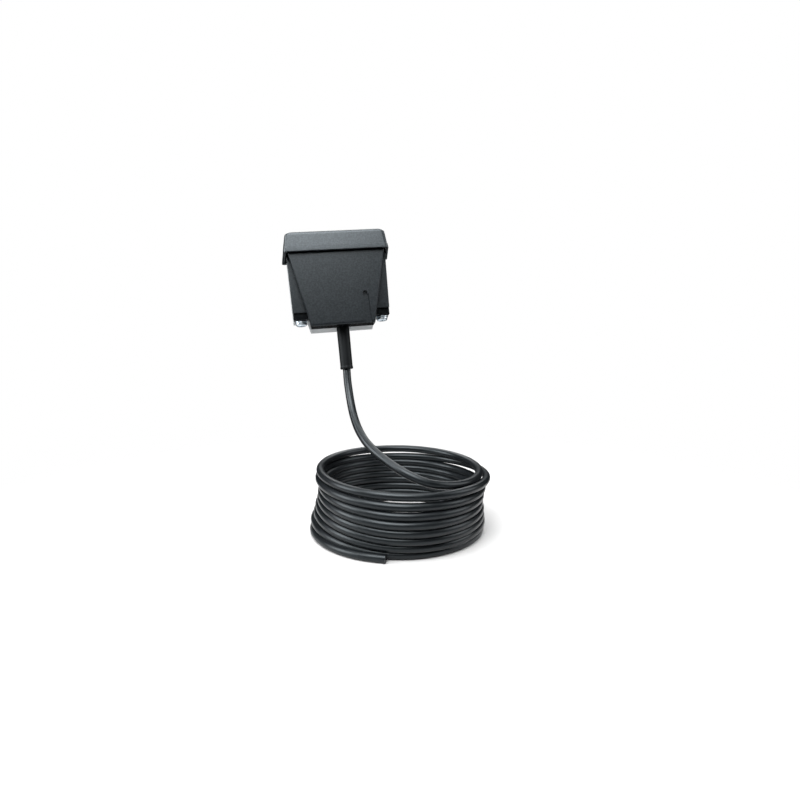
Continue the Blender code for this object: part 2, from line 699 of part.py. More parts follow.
def cable_inner():
    """The cable's stretch inside the sleeve and the head, up to where its jacket is stripped."""
    start = -SLEEVE_LENGTH + GAP
    return smooth(rod("cable_inner", CABLE_RADIUS, start, CABLE_INNER_TOP_Z, (0.0, AXIS_Y, 0.0), CABLE, 20))


def cable_clamp():
    """The bar that presses the cable onto the rear shell's saddle."""
    back = AXIS_Y - CABLE_RADIUS - GAP
    bar = box(
        "cable_clamp", (-CLAMP_HALF, CLAMP_HALF), (CLAMP_BAR_FRONT_Y, back), (CLAMP_BOTTOM_Z, CLAMP_TOP_Z), TERMINAL
    )
    soften(bar, 0.4 * MM)
    for side, sign in sides():
        at = (sign * CLAMP_SCREW_X, 0.0, (CLAMP_BOTTOM_Z + CLAMP_TOP_Z) / 2)
        cut(bar, rod(f"clamp_hole_{side}", 1.3 * MM, 5 * MM, 14 * MM, at, steps=12, along="Y"))
    return bar


def small_screw(name, x, z, seat_y, tip_y):
    """Small slotted screw driven from the front: its head in front of the seat, its tip behind."""
    under_head = seat_y - GAP
    face = under_head - SMALL_HEAD_HEIGHT
    profile = [
        (0.0, face),
        (SMALL_HEAD_RADIUS * 0.8, face),
        (SMALL_HEAD_RADIUS, face + 0.35 * MM),
        (SMALL_HEAD_RADIUS, under_head),
        (SMALL_SCREW_RADIUS, under_head),
        (SMALL_SCREW_RADIUS, tip_y),
        (0.0, tip_y),
    ]
    screw = turned(name, profile, (x, 0.0, z), ZINC, 16, "Y")
    slot = box(f"{name}_slot", (x - 3 * MM, x + 3 * MM), (face - 1 * MM, face + 0.5 * MM), (z - 0.25 * MM, z + 0.25 * MM))
    cut(screw, slot)
    return smooth(screw)


def circuit_board():
    z = (BOARD_BOTTOM_Z, BOARD_TOP_Z)
    board = box("circuit_board", (-BOARD_HALF, BOARD_HALF), (BOARD_FRONT_Y, BOARD_FRONT_Y + BOARD_THICK), z, BOARD)
    for row, height in enumerate(PILLAR_ZS):
        for side, sign in sides():
            at = (sign * PILLAR_X, 0.0, height)
            cut(board, rod(f"board_hole_{side}_{row}", 1.3 * MM, 14 * MM, 19 * MM, at, steps=12, along="Y"))
    return board


def terminal_block():
    """Three-way terminal block: cable entries below and a screw in front of each."""
    block = box(
        "terminal_block",
        (-TERMINAL_HALF, TERMINAL_HALF),
        (TERMINAL_FRONT_Y, PART_BACK_Y),
        (TERMINAL_BOTTOM_Z, TERMINAL_TOP_Z),
        TERMINAL,
    )
    for way in (-1, 0, 1):
        x = way * CORE_SPACING
        at = (x, AXIS_Y, TERMINAL_BOTTOM_Z)
        cut(block, rod(f"entry_{way}", CORE_RADIUS + GAP, -1 * MM, CORE_HOLE_DEPTH, at, steps=12))
        at = (x, 0.0, TERMINAL_BOTTOM_Z + 4.6 * MM)
        cut(block, rod(f"well_{way}", 1.9 * MM, TERMINAL_FRONT_Y - 1 * MM, TERMINAL_FRONT_Y + 2.2 * MM, at, along="Y"))
    return smooth(block)


def terminal_screw(number, way):
    x = way * CORE_SPACING
    z = TERMINAL_BOTTOM_Z + 4.6 * MM
    face = TERMINAL_FRONT_Y + 0.4 * MM
    screw = rod(f"terminal_screw_{number}", 1.6 * MM, face, TERMINAL_FRONT_Y + 2.2 * MM - GAP, (x, 0.0, z), ZINC, 16, "Y")
    slot = box(
        f"terminal_slot_{number}", (x - 3 * MM, x + 3 * MM), (face - 1 * MM, face + 0.5 * MM), (z - 0.25 * MM, z + 0.25 * MM)
    )
    cut(screw, slot)
    return smooth(screw)


def sensing_element():
    """The round sealed element on the board, with the stepped can that such elements have."""
    profile = [
        (0.0, SENSOR_FRONT_Y),
        (SENSOR_RADIUS * 0.72, SENSOR_FRONT_Y),
        (SENSOR_RADIUS * 0.8, SENSOR_FRONT_Y + 0.5 * MM),
        (SENSOR_RADIUS * 0.8, PART_BACK_Y - 2.2 * MM),
        (SENSOR_RADIUS, PART_BACK_Y - 2.0 * MM),
        (SENSOR_RADIUS, PART_BACK_Y),
        (0.0, PART_BACK_Y),
    ]
    return smooth(turned("sensing_element", profile, (0.0, 0.0, SENSOR_Z), ZINC, 28, "Y"))


def board_parts():
    chip_x = (-13.6 * MM, -8.6 * MM)
    chip = box("signal_chip", chip_x, (PART_BACK_Y - 1.4 * MM, PART_BACK_Y), (27.2 * MM, 33.2 * MM), CHIP)
    can = rod("capacitor", 2.5 * MM, PART_BACK_Y - 5.5 * MM, PART_BACK_Y, (11.2 * MM, 0.0, 30.2 * MM), ZINC, 20, "Y")
    return chip, smooth(can)


def smooth_points(route, steps):
    """Points on a Catmull-Rom curve through the route's points."""
    ends = [2 * route[0] - route[1], *route, 2 * route[-1] - route[-2]]
    points = []
    for i in range(1, len(ends) - 2):
        a, b, c, d = ends[i - 1 : i + 3]
        for step in range(steps):
            t = step / steps
            points.append(
                0.5 * (2 * b + (c - a) * t + (2 * a - 5 * b + 4 * c - d) * t**2 + (3 * b - a - 3 * c + d) * t**3)
            )
    points.append(route[-1])
    return points


def tube(name, points, radius, spec, in_head):
    """A round cord through the points, with flat ends."""
    data = bpy.data.curves.new(name, "CURVE")
    data.dimensions = "3D"
    data.bevel_depth = radius
    data.bevel_resolution = 2
    data.use_fill_caps = True
    spline = data.splines.new("POLY")
    spline.points.add(len(points) - 1)
    for point, place in zip(spline.points, points):
        point.co = (*place, 1.0)
    data.materials.append(material(spec))
    obj = bpy.data.objects.new(name, data)
    bpy.context.scene.collection.objects.link(obj)
    if in_head:
        obj.parent = bpy.data.objects["head_frame"]
    return obj


def cable_cores():
    """The three insulated wires from the stripped cable end, fanned out to the terminal's entries."""
    start = CABLE_INNER_TOP_Z + GAP
    end = TERMINAL_BOTTOM_Z + CORE_HOLE_DEPTH - GAP
    for colour, way in zip(CORES, (-1, 0, 1)):
        near = way * 1.5 * MM
        far = way * CORE_SPACING
        route = [(near, start), (near, start + 0.8 * MM), (far, TERMINAL_BOTTOM_Z - 0.9 * MM), (far, end)]
        places = [Vector((x, AXIS_Y, z)) for x, z in route]
        tube(f"core_{colour}", places, CORE_RADIUS, CORES[colour], in_head=True)


def free_cable():
    route = [Vector(point) * MM for point in CABLE_ROUTE]
    return tube("cable_tube", smooth_points(route, ROUTE_STEPS), CABLE_RADIUS, CABLE, in_head=False)


def cable_coil():
    """The outer shape of the coil: a ring that the wound turns fill."""
    edge = 1.2 * MM
    profile = [
        (COIL_INNER, 0.0),
        (COIL_OUTER, 0.0),
        (COIL_OUTER, COIL_HEIGHT - edge),
        (COIL_OUTER - edge, COIL_HEIGHT),
        (COIL_INNER + edge, COIL_HEIGHT),
        (COIL_INNER, COIL_HEIGHT - edge),
    ]
    coil = turned("cable_coil", profile, (0.0, 0.0, 0.0), CABLE, 48, ring=True)
    coil.parent = None
    coil.location = (COIL_X, COIL_Y, FLOOR_Z)
    return smooth(coil)


def main():
    clear_scene()
    make_head_frame()
    channels = make_screw_channels()
    sleeve_hole = make_sleeve_hole()
    front_shell(channels, sleeve_hole)
    rear_shell(channels, sleeve_hole)
    shell_seal()
    wall_plate()
    hood_cap()
    hood_gasket()
    for side, sign in sides():
        plate_screw(side, sign)
        threaded_insert(side, sign)
        fixing_screw(side, sign)
        washer(side, sign)
        captive_ring(side, sign)
        clamp_z = (CLAMP_BOTTOM_Z + CLAMP_TOP_Z) / 2
        small_screw(f"clamp_screw_{side}", sign * CLAMP_SCREW_X, clamp_z, CLAMP_BAR_FRONT_Y, 20 * MM)
    for row, z in zip(("lower", "upper"), PILLAR_ZS):
        for side, sign in sides():
            small_screw(f"board_screw_{row}_{side}", sign * PILLAR_X, z, BOARD_FRONT_Y, 21 * MM)
    cable_sleeve()
    cable_inner()
    cable_clamp()
    circuit_board()
    sensing_element()
    terminal_block()
    for number, way in enumerate((-1, 0, 1), start=1):
        terminal_screw(number, way)
    board_parts()
    cable_cores()
    free_cable()
    cable_coil()


main()
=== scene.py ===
"""Looks of the cabled measuring head: fine meshes, finishes, the coiled cable, and a plain studio round them.

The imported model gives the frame. The head's own axes come from it too: its height runs along the fixing screws and
its depth along the wall face's normal. Every mesh is built in the head's own axes and then turned into the row
frame. Lengths are in metres, and angles whose names end in deg are in degrees. The cable's tables are in millimetres.
"""
import json
import logging
import math
from collections.abc import Callable, Iterable, Sequence
from dataclasses import dataclass, field
from enum import Enum

import bmesh
import bpy
from mathutils import Matrix, Vector


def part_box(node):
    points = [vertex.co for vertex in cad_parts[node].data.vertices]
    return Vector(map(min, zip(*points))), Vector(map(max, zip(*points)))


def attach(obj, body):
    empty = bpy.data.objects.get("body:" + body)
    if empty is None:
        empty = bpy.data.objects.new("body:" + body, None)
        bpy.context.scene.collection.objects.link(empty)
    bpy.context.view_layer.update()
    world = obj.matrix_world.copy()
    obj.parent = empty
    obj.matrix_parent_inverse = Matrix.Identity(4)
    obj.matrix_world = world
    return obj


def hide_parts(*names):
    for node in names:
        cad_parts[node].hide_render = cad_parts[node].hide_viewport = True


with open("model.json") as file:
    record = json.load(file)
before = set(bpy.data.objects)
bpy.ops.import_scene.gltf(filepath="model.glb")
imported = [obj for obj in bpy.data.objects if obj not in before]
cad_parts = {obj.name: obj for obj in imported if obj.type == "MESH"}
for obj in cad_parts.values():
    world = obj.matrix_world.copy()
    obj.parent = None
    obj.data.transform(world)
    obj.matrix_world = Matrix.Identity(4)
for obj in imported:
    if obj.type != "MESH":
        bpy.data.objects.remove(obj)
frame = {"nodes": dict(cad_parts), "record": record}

log = logging.getLogger("looks")

MM = 0.001
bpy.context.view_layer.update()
COIL_TURN_DEG = -9.0

Point = tuple[float, float]
Rgb = tuple[float, float, float]

COOL_SHEEN: Rgb = (0.86, 0.95, 1.0)


class Side(Enum):
    """The two sides of the head, seen from the front."""

    LEFT = -1.0
    RIGHT = 1.0

    @property
    def word(self) -> str:
        """The side's name as the model's nodes spell it."""
        return self.name.lower()


class Body(Enum):
    """The rigid bodies that a piece can ride on."""

    HEAD = "head"
    SCREW_LEFT = "screw_left"
    SCREW_RIGHT = "screw_right"


class Along(Enum):
    """The axis that a turned piece is spun about."""

    HEIGHT = "Z"
    DEPTH = "Y"


# ------------------------------------------------------------
# Shader maths
# ------------------------------------------------------------


class Signal:
    """A shader socket that takes part in Python expressions, each of which adds its Math nodes."""

    def __init__(self, graph: "Graph", socket: bpy.types.NodeSocket) -> None:
        """Wraps one output socket of the graph."""
        self.graph = graph
        self.socket = socket

    def _math(self, operation: str, first: "Signal | float", second: "Signal | float") -> "Signal":
        """Adds one Math node.

        Args:
            operation: The Math node's operation.
            first: The first operand.
            second: The second operand.

        Returns:
            The node's result.
        """
        return self.graph.node("ShaderNodeMath", {"operation": operation}, {0: first, 1: second})

    def __add__(self, other: "Signal | float") -> "Signal":
        """self + other."""
        return self._math("ADD", self, other)

    def __radd__(self, other: float) -> "Signal":
        """other + self."""
        return self._math("ADD", other, self)

    def __sub__(self, other: "Signal | float") -> "Signal":
        """self - other."""
        return self._math("SUBTRACT", self, other)

    def __rsub__(self, other: float) -> "Signal":
        """other - self."""
        return self._math("SUBTRACT", other, self)

    def __mul__(self, other: "Signal | float") -> "Signal":
        """self * other."""
        return self._math("MULTIPLY", self, other)

    def __rmul__(self, other: float) -> "Signal":
        """other * self."""
        return self._math("MULTIPLY", other, self)

    def __truediv__(self, other: "Signal | float") -> "Signal":
        """self / other."""
        return self._math("DIVIDE", self, other)

    def __pow__(self, other: "Signal | float") -> "Signal":
        """self to the power of other."""
        return self._math("POWER", self, other)

    def between(self, low: float, high: float) -> "Signal":
        """A smooth step from 0 at low to 1 at high."""
        settings = {"interpolation_type": "SMOOTHSTEP"}
        return self.graph.node("ShaderNodeMapRange", settings, {"Value": self, "From Min": low, "From Max": high})


class Graph:
    """The node tree of one material or of the world."""

    def __init__(self, tree: bpy.types.NodeTree) -> None:
        """Starts the tree afresh."""
        self.tree = tree
        tree.nodes.clear()

    def node(
        self,
        kind: str,
        settings: dict | None = None,
        inputs: dict | None = None,
        output: int | str = 0,
    ) -> Signal:
        """Adds any node.

        Args:
            kind: The node's type.
            settings: The node's properties, set first. A ramp's colours are under "stops", as (place, colour).
            inputs: The values or signals of its input sockets, by name or number.
            output: The output socket that is wanted.

        Returns:
            The wanted output.
        """
        made = self.tree.nodes.new(kind)
        for name, value in (settings or {}).items():
            if name == "stops":
                self._set_stops(made.color_ramp.elements, value)
            else:
                setattr(made, name, value)
        for name, value in (inputs or {}).items():
            if isinstance(value, Signal):
                self.tree.links.new(value.socket, made.inputs[name])
            else:
                made.inputs[name].default_value = value
        return Signal(self, made.outputs[output]) if len(made.outputs) else Signal(self, None)

    @staticmethod
    def _set_stops(elements: bpy.types.ColorRampElements, stops: Sequence[tuple[float, Rgb]]) -> None:
        """Gives a colour ramp its stops, in rising order."""
        while len(elements) < len(stops):
            elements.new(1.0)
        for element, (place, colour) in zip(elements, stops):
            element.position = place
            element.color = (*colour, 1.0)

    def place(self) -> Signal:
        """The point on the surface, in the object's own metres."""
        return self.node("ShaderNodeTexCoord", output="Object")

    def noise(self, scale: float, detail: float = 2.0, roughness: float = 0.5, at: Signal | None = None) -> Signal:
        """Noise of about 1 / scale metres.

        Args:
            scale: Grains to the metre.
            detail: Octaves.
            roughness: How strong the finer octaves are.
            at: Where it is read, or the surface itself.

        Returns:
            A value round 0.5.
        """
        inputs = {"Vector": at or self.place(), "Scale": scale, "Detail": detail, "Roughness": roughness}
        return self.node("ShaderNodeTexNoise", inputs=inputs, output="Fac")

    def blend(self, share: Signal | float, first: Rgb | Signal, second: Rgb | Signal) -> Signal:
        """A colour between two.

        Args:
            share: 0 gives the first and 1 the second.
            first: A colour or a colour signal.
            second: A colour or a colour signal.

        Returns:
            The mixed colour.
        """
        ends = [value if isinstance(value, Signal) else (*value, 1.0) for value in (first, second)]
        return self.node("ShaderNodeMix", {"data_type": "RGBA"}, {0: share, 6: ends[0], 7: ends[1]}, 2)

    def bump(self, height: Signal, distance: float, strength: float = 1.0) -> Signal:
        """The normal of a height in the range 0 to 1.

        Args:
            height: The height.
            distance: How many metres a height of 1 stands up.
            strength: The share of it that shows.

        Returns:
            A normal.
        """
        return self.node("ShaderNodeBump", None, {"Height": height, "Distance": distance, "Strength": strength})

    def surface(self, shader: Signal) -> None:
        """Ends the tree with this shader."""
        self.node("ShaderNodeOutputMaterial", None, {"Surface": shader})


@dataclass(frozen=True)
class Finish:
    """What every finish shares: a name, and the material that is made once."""

    name: str

    def shader(self, graph: Graph) -> Signal:
        """Builds the finish's shader in the graph."""
        raise NotImplementedError

    def material(self) -> bpy.types.Material:
        """The finish's material, made at its first use."""
        found = bpy.data.materials.get(f"fine_{self.name}")
        if found:
            return found
        made = bpy.data.materials.new(f"fine_{self.name}")
        made.use_nodes = True
        graph = Graph(made.node_tree)
        graph.surface(self.shader(graph))
        return made


@dataclass(frozen=True)
class GrainedPlastic(Finish):
    """Moulded plastic with the fine spark-eroded grain of a tool, a little mottled."""

    dark: Rgb
    light: Rgb
    roughness: float = 0.3
    grain: float = 1100.0
    speckle: float = 1000.0
    depth: float = 0.03 * MM
    specular: float = 0.5

    def shader(self, graph: Graph) -> Signal:
        """Colour speckles over two sizes of grain.

        Args:
            graph: The material's graph.

        Returns:
            The shader.
        """
        speckles = graph.noise(self.speckle, 3.0, 0.7)
        clouds = graph.noise(60.0, 3.0)
        share = speckles.between(0.36, 0.66) * 0.75 + clouds * 0.25
        fine = graph.noise(self.grain * 2.5, 1.0)
        height = graph.noise(self.grain, 1.0, 0.4) * 0.85 + fine * 0.15
        return graph.node(
            "ShaderNodeBsdfPrincipled",
            None,
            {
                "Base Color": graph.blend(share, self.dark, self.light),
                "Roughness": self.roughness + fine * 0.14 - 0.07,
                "Specular IOR Level": self.specular,
                "Specular Tint": (*COOL_SHEEN, 1.0),
                "Normal": graph.bump(height, self.depth),
            },
        )


@dataclass(frozen=True)
class Jacket(Finish):
    """Extruded or moulded soft plastic: satin, with faint drawing marks and a few dull patches."""

    colour: Rgb
    roughness: float = 0.32
    specular: float = 0.5
    depth: float = 0.012 * MM

    def shader(self, graph: Graph) -> Signal:
        """A dark satin skin with soft handling marks.

        Args:
            graph: The material's graph.

        Returns:
            The shader.
        """
        patches = graph.noise(45.0, 4.0, 0.6).between(0.42, 0.62)
        marks = graph.noise(900.0, 3.0, 0.65)
        dusty = tuple(channel * 1.4 + 0.002 for channel in self.colour)
        return graph.node(
            "ShaderNodeBsdfPrincipled",
            None,
            {
                "Base Color": graph.blend(patches * 0.5 + marks * 0.2, self.colour, dusty),
                "Roughness": self.roughness + patches * 0.05 + marks * 0.08 - 0.06,
                "Specular IOR Level": self.specular,
                "Specular Tint": (*COOL_SHEEN, 1.0),
                "Normal": graph.bump(marks, self.depth),
            },
        )


@dataclass(frozen=True)
class Metal(Finish):
    """Bare or plated metal with fine turning marks and slightly uneven shine."""

    colour: Rgb
    tint: Rgb
    roughness: float = 0.25
    depth: float = 0.006 * MM

    def shader(self, graph: Graph) -> Signal:
        """Metal with a tinted, patchy plating.

        Args:
            graph: The material's graph.

        Returns:
            The shader.
        """
        film = graph.noise(700.0, 3.0, 0.6).between(0.35, 0.68)
        scratches = graph.noise(5200.0, 2.0, 0.7)
        return graph.node(
            "ShaderNodeBsdfPrincipled",
            None,
            {
                "Base Color": graph.blend(film, self.colour, self.tint),
                "Metallic": 1.0,
                "Roughness": self.roughness + scratches * 0.16 - 0.08,
                "Normal": graph.bump(scratches, self.depth),
            },
        )


@dataclass(frozen=True)
class SolderMask(Finish):
    """A circuit board's coat, with the paths under it showing as raised lighter lines."""

    board: Rgb
    track: Rgb
    pitch: float = 1.27 * MM

    def shader(self, graph: Graph) -> Signal:
        """Tracks on a square pitch, broken up where a cell has none.

        Args:
            graph: The material's graph.

        Returns:
            The shader.
        """
        bricks = {"Vector": graph.place(), "Scale": 1.0, "Mortar Size": self.pitch * 0.16}
        bricks |= {"Brick Width": self.pitch * 5, "Row Height": self.pitch, "Mortar Smooth": 0.3}
        lines = graph.node("ShaderNodeTexBrick", {"offset": 0.5}, bricks, "Fac")
        cells = graph.noise(150.0, 0.0).between(0.42, 0.5)
        tracks = lines * cells
        return graph.node(
            "ShaderNodeBsdfPrincipled",
            None,
            {
                "Base Color": graph.blend(tracks, self.board, self.track),
                "Roughness": 0.35 + graph.noise(800.0) * 0.1,
                "Normal": graph.bump(tracks, 0.04 * MM),
            },
        )


HOOD_PLASTIC = GrainedPlastic(
    "hood_plastic", (0.008, 0.011, 0.013), (0.040, 0.046, 0.052), 0.36, depth=0.018 * MM, specular=0.55
)
COVER_PLASTIC = GrainedPlastic("cover_plastic", (0.002, 0.003, 0.004), (0.017, 0.020, 0.023), 0.36, specular=0.42)
SMOOTH_BLACK = Jacket("smooth_black", (0.002, 0.0025, 0.003), 0.2)
GREY_PLASTIC = GrainedPlastic("grey_plastic", (0.50, 0.52, 0.53), (0.58, 0.60, 0.61), 0.5, depth=0.02 * MM)
CABLE_JACKET = Jacket("cable_jacket", (0.004, 0.005, 0.006), 0.33, 0.42)
SLEEVE_RUBBER = Jacket("sleeve_rubber", (0.0025, 0.0027, 0.003), 0.5, 0.25)
SEAL_RUBBER = Jacket("black_rubber", (0.010, 0.010, 0.011), 0.6)
ZINC = Metal("zinc_steel", (0.86, 0.93, 0.97), (0.72, 0.84, 0.94), 0.34)
ALUMINIUM = Metal("aluminium", (0.78, 0.79, 0.80), (0.70, 0.71, 0.72), 0.3)
BRASS = Metal("brass", (0.78, 0.58, 0.26), (0.66, 0.46, 0.18), 0.3)
TERMINAL_GREY = GrainedPlastic("terminal_grey", (0.17, 0.19, 0.20), (0.22, 0.24, 0.25), 0.45)
CHIP_BLACK = GrainedPlastic("chip_black", (0.014, 0.014, 0.015), (0.024, 0.024, 0.025), 0.5)
CORE_BROWN = Jacket("core_brown", (0.16, 0.07, 0.03), 0.4)
CORE_WHITE = Jacket("core_white", (0.70, 0.70, 0.68), 0.4)
CORE_GREEN = Jacket("core_green", (0.05, 0.24, 0.08), 0.4)
BOARD_GREEN = SolderMask("board_green", (0.02, 0.12, 0.05), (0.05, 0.22, 0.09))

# ------------------------------------------------------------
# Mesh work
# ------------------------------------------------------------


class HeadAxes:
    """The head's own axes in the row frame, from the model's record."""

    WALL_POINT = Vector((0.0, 27.0 * MM, 25.0 * MM))

    def __init__(self, record: dict) -> None:
        """Reads the wall face and a fixing screw's axis."""
        wall = next(mount for mount in record["mounts"] if mount["name"] == "wall_face")
        depth = Vector(wall["axis"]).normalized()
        height = Vector(record["behaviour"]["joints"][0]["axis"]).normalized()
        across = depth.cross(height).normalized()
        turned = Matrix((across, depth, height)).transposed()
        self.matrix = Matrix.Translation(Vector(wall["pos_m"]) - turned @ self.WALL_POINT) @ turned.to_4x4()

    def point(self, x: float, y: float, z: float) -> Vector:
        """A point of the head in the row frame."""
        return self.matrix @ Vector((x, y, z))

    def direction(self, x: float, y: float, z: float) -> Vector:
        """A direction of the head in the row frame."""
        return self.matrix.to_3x3() @ Vector((x, y, z))


class Solid:
    """A closed mesh in the head's axes, which other solids can be added to and cut from."""

    def __init__(self, name: str, bm: bmesh.types.BMesh) -> None:
        """Turns the bmesh into an object, faces outwards."""
        bmesh.ops.remove_doubles(bm, verts=bm.verts, dist=0.0005 * MM)
        bmesh.ops.dissolve_degenerate(bm, edges=bm.edges, dist=0.0005 * MM)
        bmesh.ops.recalc_face_normals(bm, faces=bm.faces)
        mesh = bpy.data.meshes.new(name)
        bm.to_mesh(mesh)
        bm.free()
        self.object = bpy.data.objects.new(name, mesh)
        bpy.context.scene.collection.objects.link(self.object)

    @classmethod
    def rings(cls, name: str, rings: Sequence[Sequence[Vector]], closed: bool = False) -> "Solid":
        """A skin through rings of points, all with the same number of points.

        Args:
            name: The object's name.
            rings: The rings, in order along the skin.
            closed: Whether the last ring joins the first. Otherwise both ends are capped.

        Returns:
            The solid.
        """
        bm = bmesh.new()
        loops = [[bm.verts.new(point) for point in ring] for ring in rings]
        pairs = list(zip(loops, loops[1:]))
        if closed:
            pairs.append((loops[-1], loops[0]))
        else:
            bm.faces.new(loops[0])
            bm.faces.new(loops[-1])
        for low, high in pairs:
            for i in range(len(low)):
                j = (i + 1) % len(low)
                bm.faces.new((low[i], low[j], high[j], high[i]))
        return cls(name, bm)

    @classmethod
    def front_prism(cls, name: str, outline: Sequence[Point], y0: float, y1: float) -> "Solid":
        """A prism whose (x, z) outline is drawn on the front, from y0 back to y1."""
        return cls.rings(name, [[Vector((x, y, z)) for x, z in outline] for y in (y0, y1)])

    @classmethod
    def box(cls, name: str, x: Point, y: Point, z: Point) -> "Solid":
        """A box from its (low, high) pairs."""
        return cls.front_prism(name, [(x[0], z[0]), (x[1], z[0]), (x[1], z[1]), (x[0], z[1])], *y)

    @classmethod
    def turned(
        cls, name: str, profile: Sequence[Point], at: Vector, steps: int = 48, along: Along = Along.HEIGHT
    ) -> "Solid":
        """A turned piece.

        Args:
            name: The object's name.
            profile: (radius, height) points. A profile that leaves the axis free makes a ring.
            at: A point on its axis, from which the heights count.
            steps: Faces round it.
            along: The axis it is spun about.

        Returns:
            The solid.
        """
        solid_core = profile[0][0] == 0.0
        inner = profile[1:-1] if solid_core else profile
        rings = []
        for radius, height in inner:
            ring = []
            for step in range(steps):
                angle = 2.0 * math.pi * step / steps
                flat = (radius * math.cos(angle), radius * math.sin(angle))
                offset = (*flat, height) if along is Along.HEIGHT else (flat[0], height, flat[1])
                ring.append(at + Vector(offset))
            rings.append(ring)
        return cls.rings(name, rings, closed=not solid_core)

    @classmethod
    def rod(
        cls, name: str, radius: float, ends: Point, at: Vector, steps: int = 32, along: Along = Along.HEIGHT
    ) -> "Solid":
        """A plain cylinder between its (low, high) ends."""
        profile = [(0.0, 0.0), (radius, ends[0]), (radius, ends[1]), (0.0, 0.0)]
        return cls.turned(name, profile, at, steps, along)

    def _apply(self) -> None:
        """Applies the modifiers to the mesh."""
        graph = bpy.context.evaluated_depsgraph_get()
        mesh = bpy.data.meshes.new_from_object(self.object.evaluated_get(graph))
        self.object.modifiers.clear()
        old = self.object.data
        self.object.data = mesh
        bpy.data.meshes.remove(old)

    def _combine(self, others: Iterable["Solid"], operation: str, keep: bool) -> "Solid":
        """Applies Booleans with the others, and removes those unless they are kept."""
        for other in others:
            modifier = self.object.modifiers.new("combine", "BOOLEAN")
            modifier.operation = operation
            modifier.solver = "EXACT"
            modifier.object = other.object
            self._apply()
            if not keep:
                bpy.data.objects.remove(other.object, do_unlink=True)
        return self

    def add(self, *others: "Solid") -> "Solid":
        """Joins the others to this one."""
        return self._combine(others, "UNION", keep=False)

    def cut(self, *others: "Solid", keep: bool = False) -> "Solid":
        """Takes the others out of this one."""
        return self._combine(others, "DIFFERENCE", keep)

    def bevel(self, width: float, segments: int = 3, angle_deg: float = 30.0) -> "Solid":
        """Rounds the edges that are sharper than the angle."""
        modifier = self.object.modifiers.new("bevel", "BEVEL")
        modifier.width = width
        modifier.segments = segments
        modifier.limit_method = "ANGLE"
        modifier.angle_limit = math.radians(angle_deg)
        self._apply()
        return self

    def paint(self, finish: Finish, test: Callable[[Vector, Vector], bool]) -> "Solid":
        """Gives a second finish to the faces whose centre and normal pass the test."""
        self.object.data.materials.clear()
        for made in (None, finish.material()):
            self.object.data.materials.append(made)
        for face in self.object.data.polygons:
            face.material_index = int(test(face.center, face.normal))
        return self

    def finish(
        self, axes: HeadAxes, finish: Finish, body: Body, replaces: str, slot: str, smooth_deg: float = 32.0
    ) -> bpy.types.Object:
        """Turns the solid into a piece in the row frame.

        Args:
            axes: The head's axes.
            finish: Its finish.
            body: The body that it rides on.
            replaces: The node that it stands for.
            slot: The record's material slot. It is not used.
            smooth_deg: Edges sharper than this stay sharp.

        Returns:
            The piece.
        """
        piece = self.object
        piece.data.transform(axes.matrix)
        piece.data.shade_smooth()
        piece.data.set_sharp_from_angle(angle=math.radians(smooth_deg))
        if piece.data.materials:
            piece.data.materials[0] = finish.material()
        else:
            piece.data.materials.append(finish.material())
        weighted = piece.modifiers.new("weighted", "WEIGHTED_NORMAL")
        weighted.keep_sharp = True
        self._apply()
        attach(piece, body.value)
        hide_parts(replaces)
        log.info("%s: %d faces", piece.name, len(piece.data.polygons))
        return piece


def symmetric(half_outline: Sequence[Point]) -> list[Point]:
    """A closed outline from its right half, listed bottom to top."""
    return list(half_outline) + [(-x, z) for x, z in reversed(half_outline)]


def rounded_corners(corners: Sequence[tuple[float, float, float]], steps: int = 6) -> list[Point]:
    """A polygon with arcs at its corners.

    Args:
        corners: (x, y, radius) of each corner, anticlockwise.
        steps: Steps to each arc.

    Returns:
        The outline's points.
    """
    points = []
    for i, (x, y, radius) in enumerate(corners):
        here = Vector((x, y))
        before = (Vector(corners[i - 1][:2]) - here).normalized()
        after = (Vector(corners[(i + 1) % len(corners)][:2]) - here).normalized()
        half = before.angle(after) / 2.0
        reach = radius / math.tan(half)
        centre = here + (before + after).normalized() * (radius / math.sin(half))
        start = here + before * reach - centre
        end = here + after * reach - centre
        sweep = start.angle_signed(end)
        for step in range(steps + 1):
            turn = Matrix.Rotation(-sweep * step / steps, 2)
            points.append(tuple(centre + turn @ start))
    return points


def smooth_path(route: Sequence[Vector], step: float) -> list[Vector]:
    """Points about a step apart on a Catmull-Rom curve through the route."""
    ends = [2 * route[0] - route[1], *route, 2 * route[-1] - route[-2]]
    points = []
    for i in range(1, len(ends) - 2):
        a, b, c, d = ends[i - 1 : i + 3]
        count = max(1, round((c - b).length / step))
        for k in range(count):
            t = k / count
            cubic = (3 * b - a - 3 * c + d) * t**3 + (2 * a - 5 * b + 4 * c - d) * t**2
            points.append(0.5 * (2 * b + (c - a) * t + cubic))
    points.append(route[-1])
    return points


# ------------------------------------------------------------
# The cable
# ------------------------------------------------------------


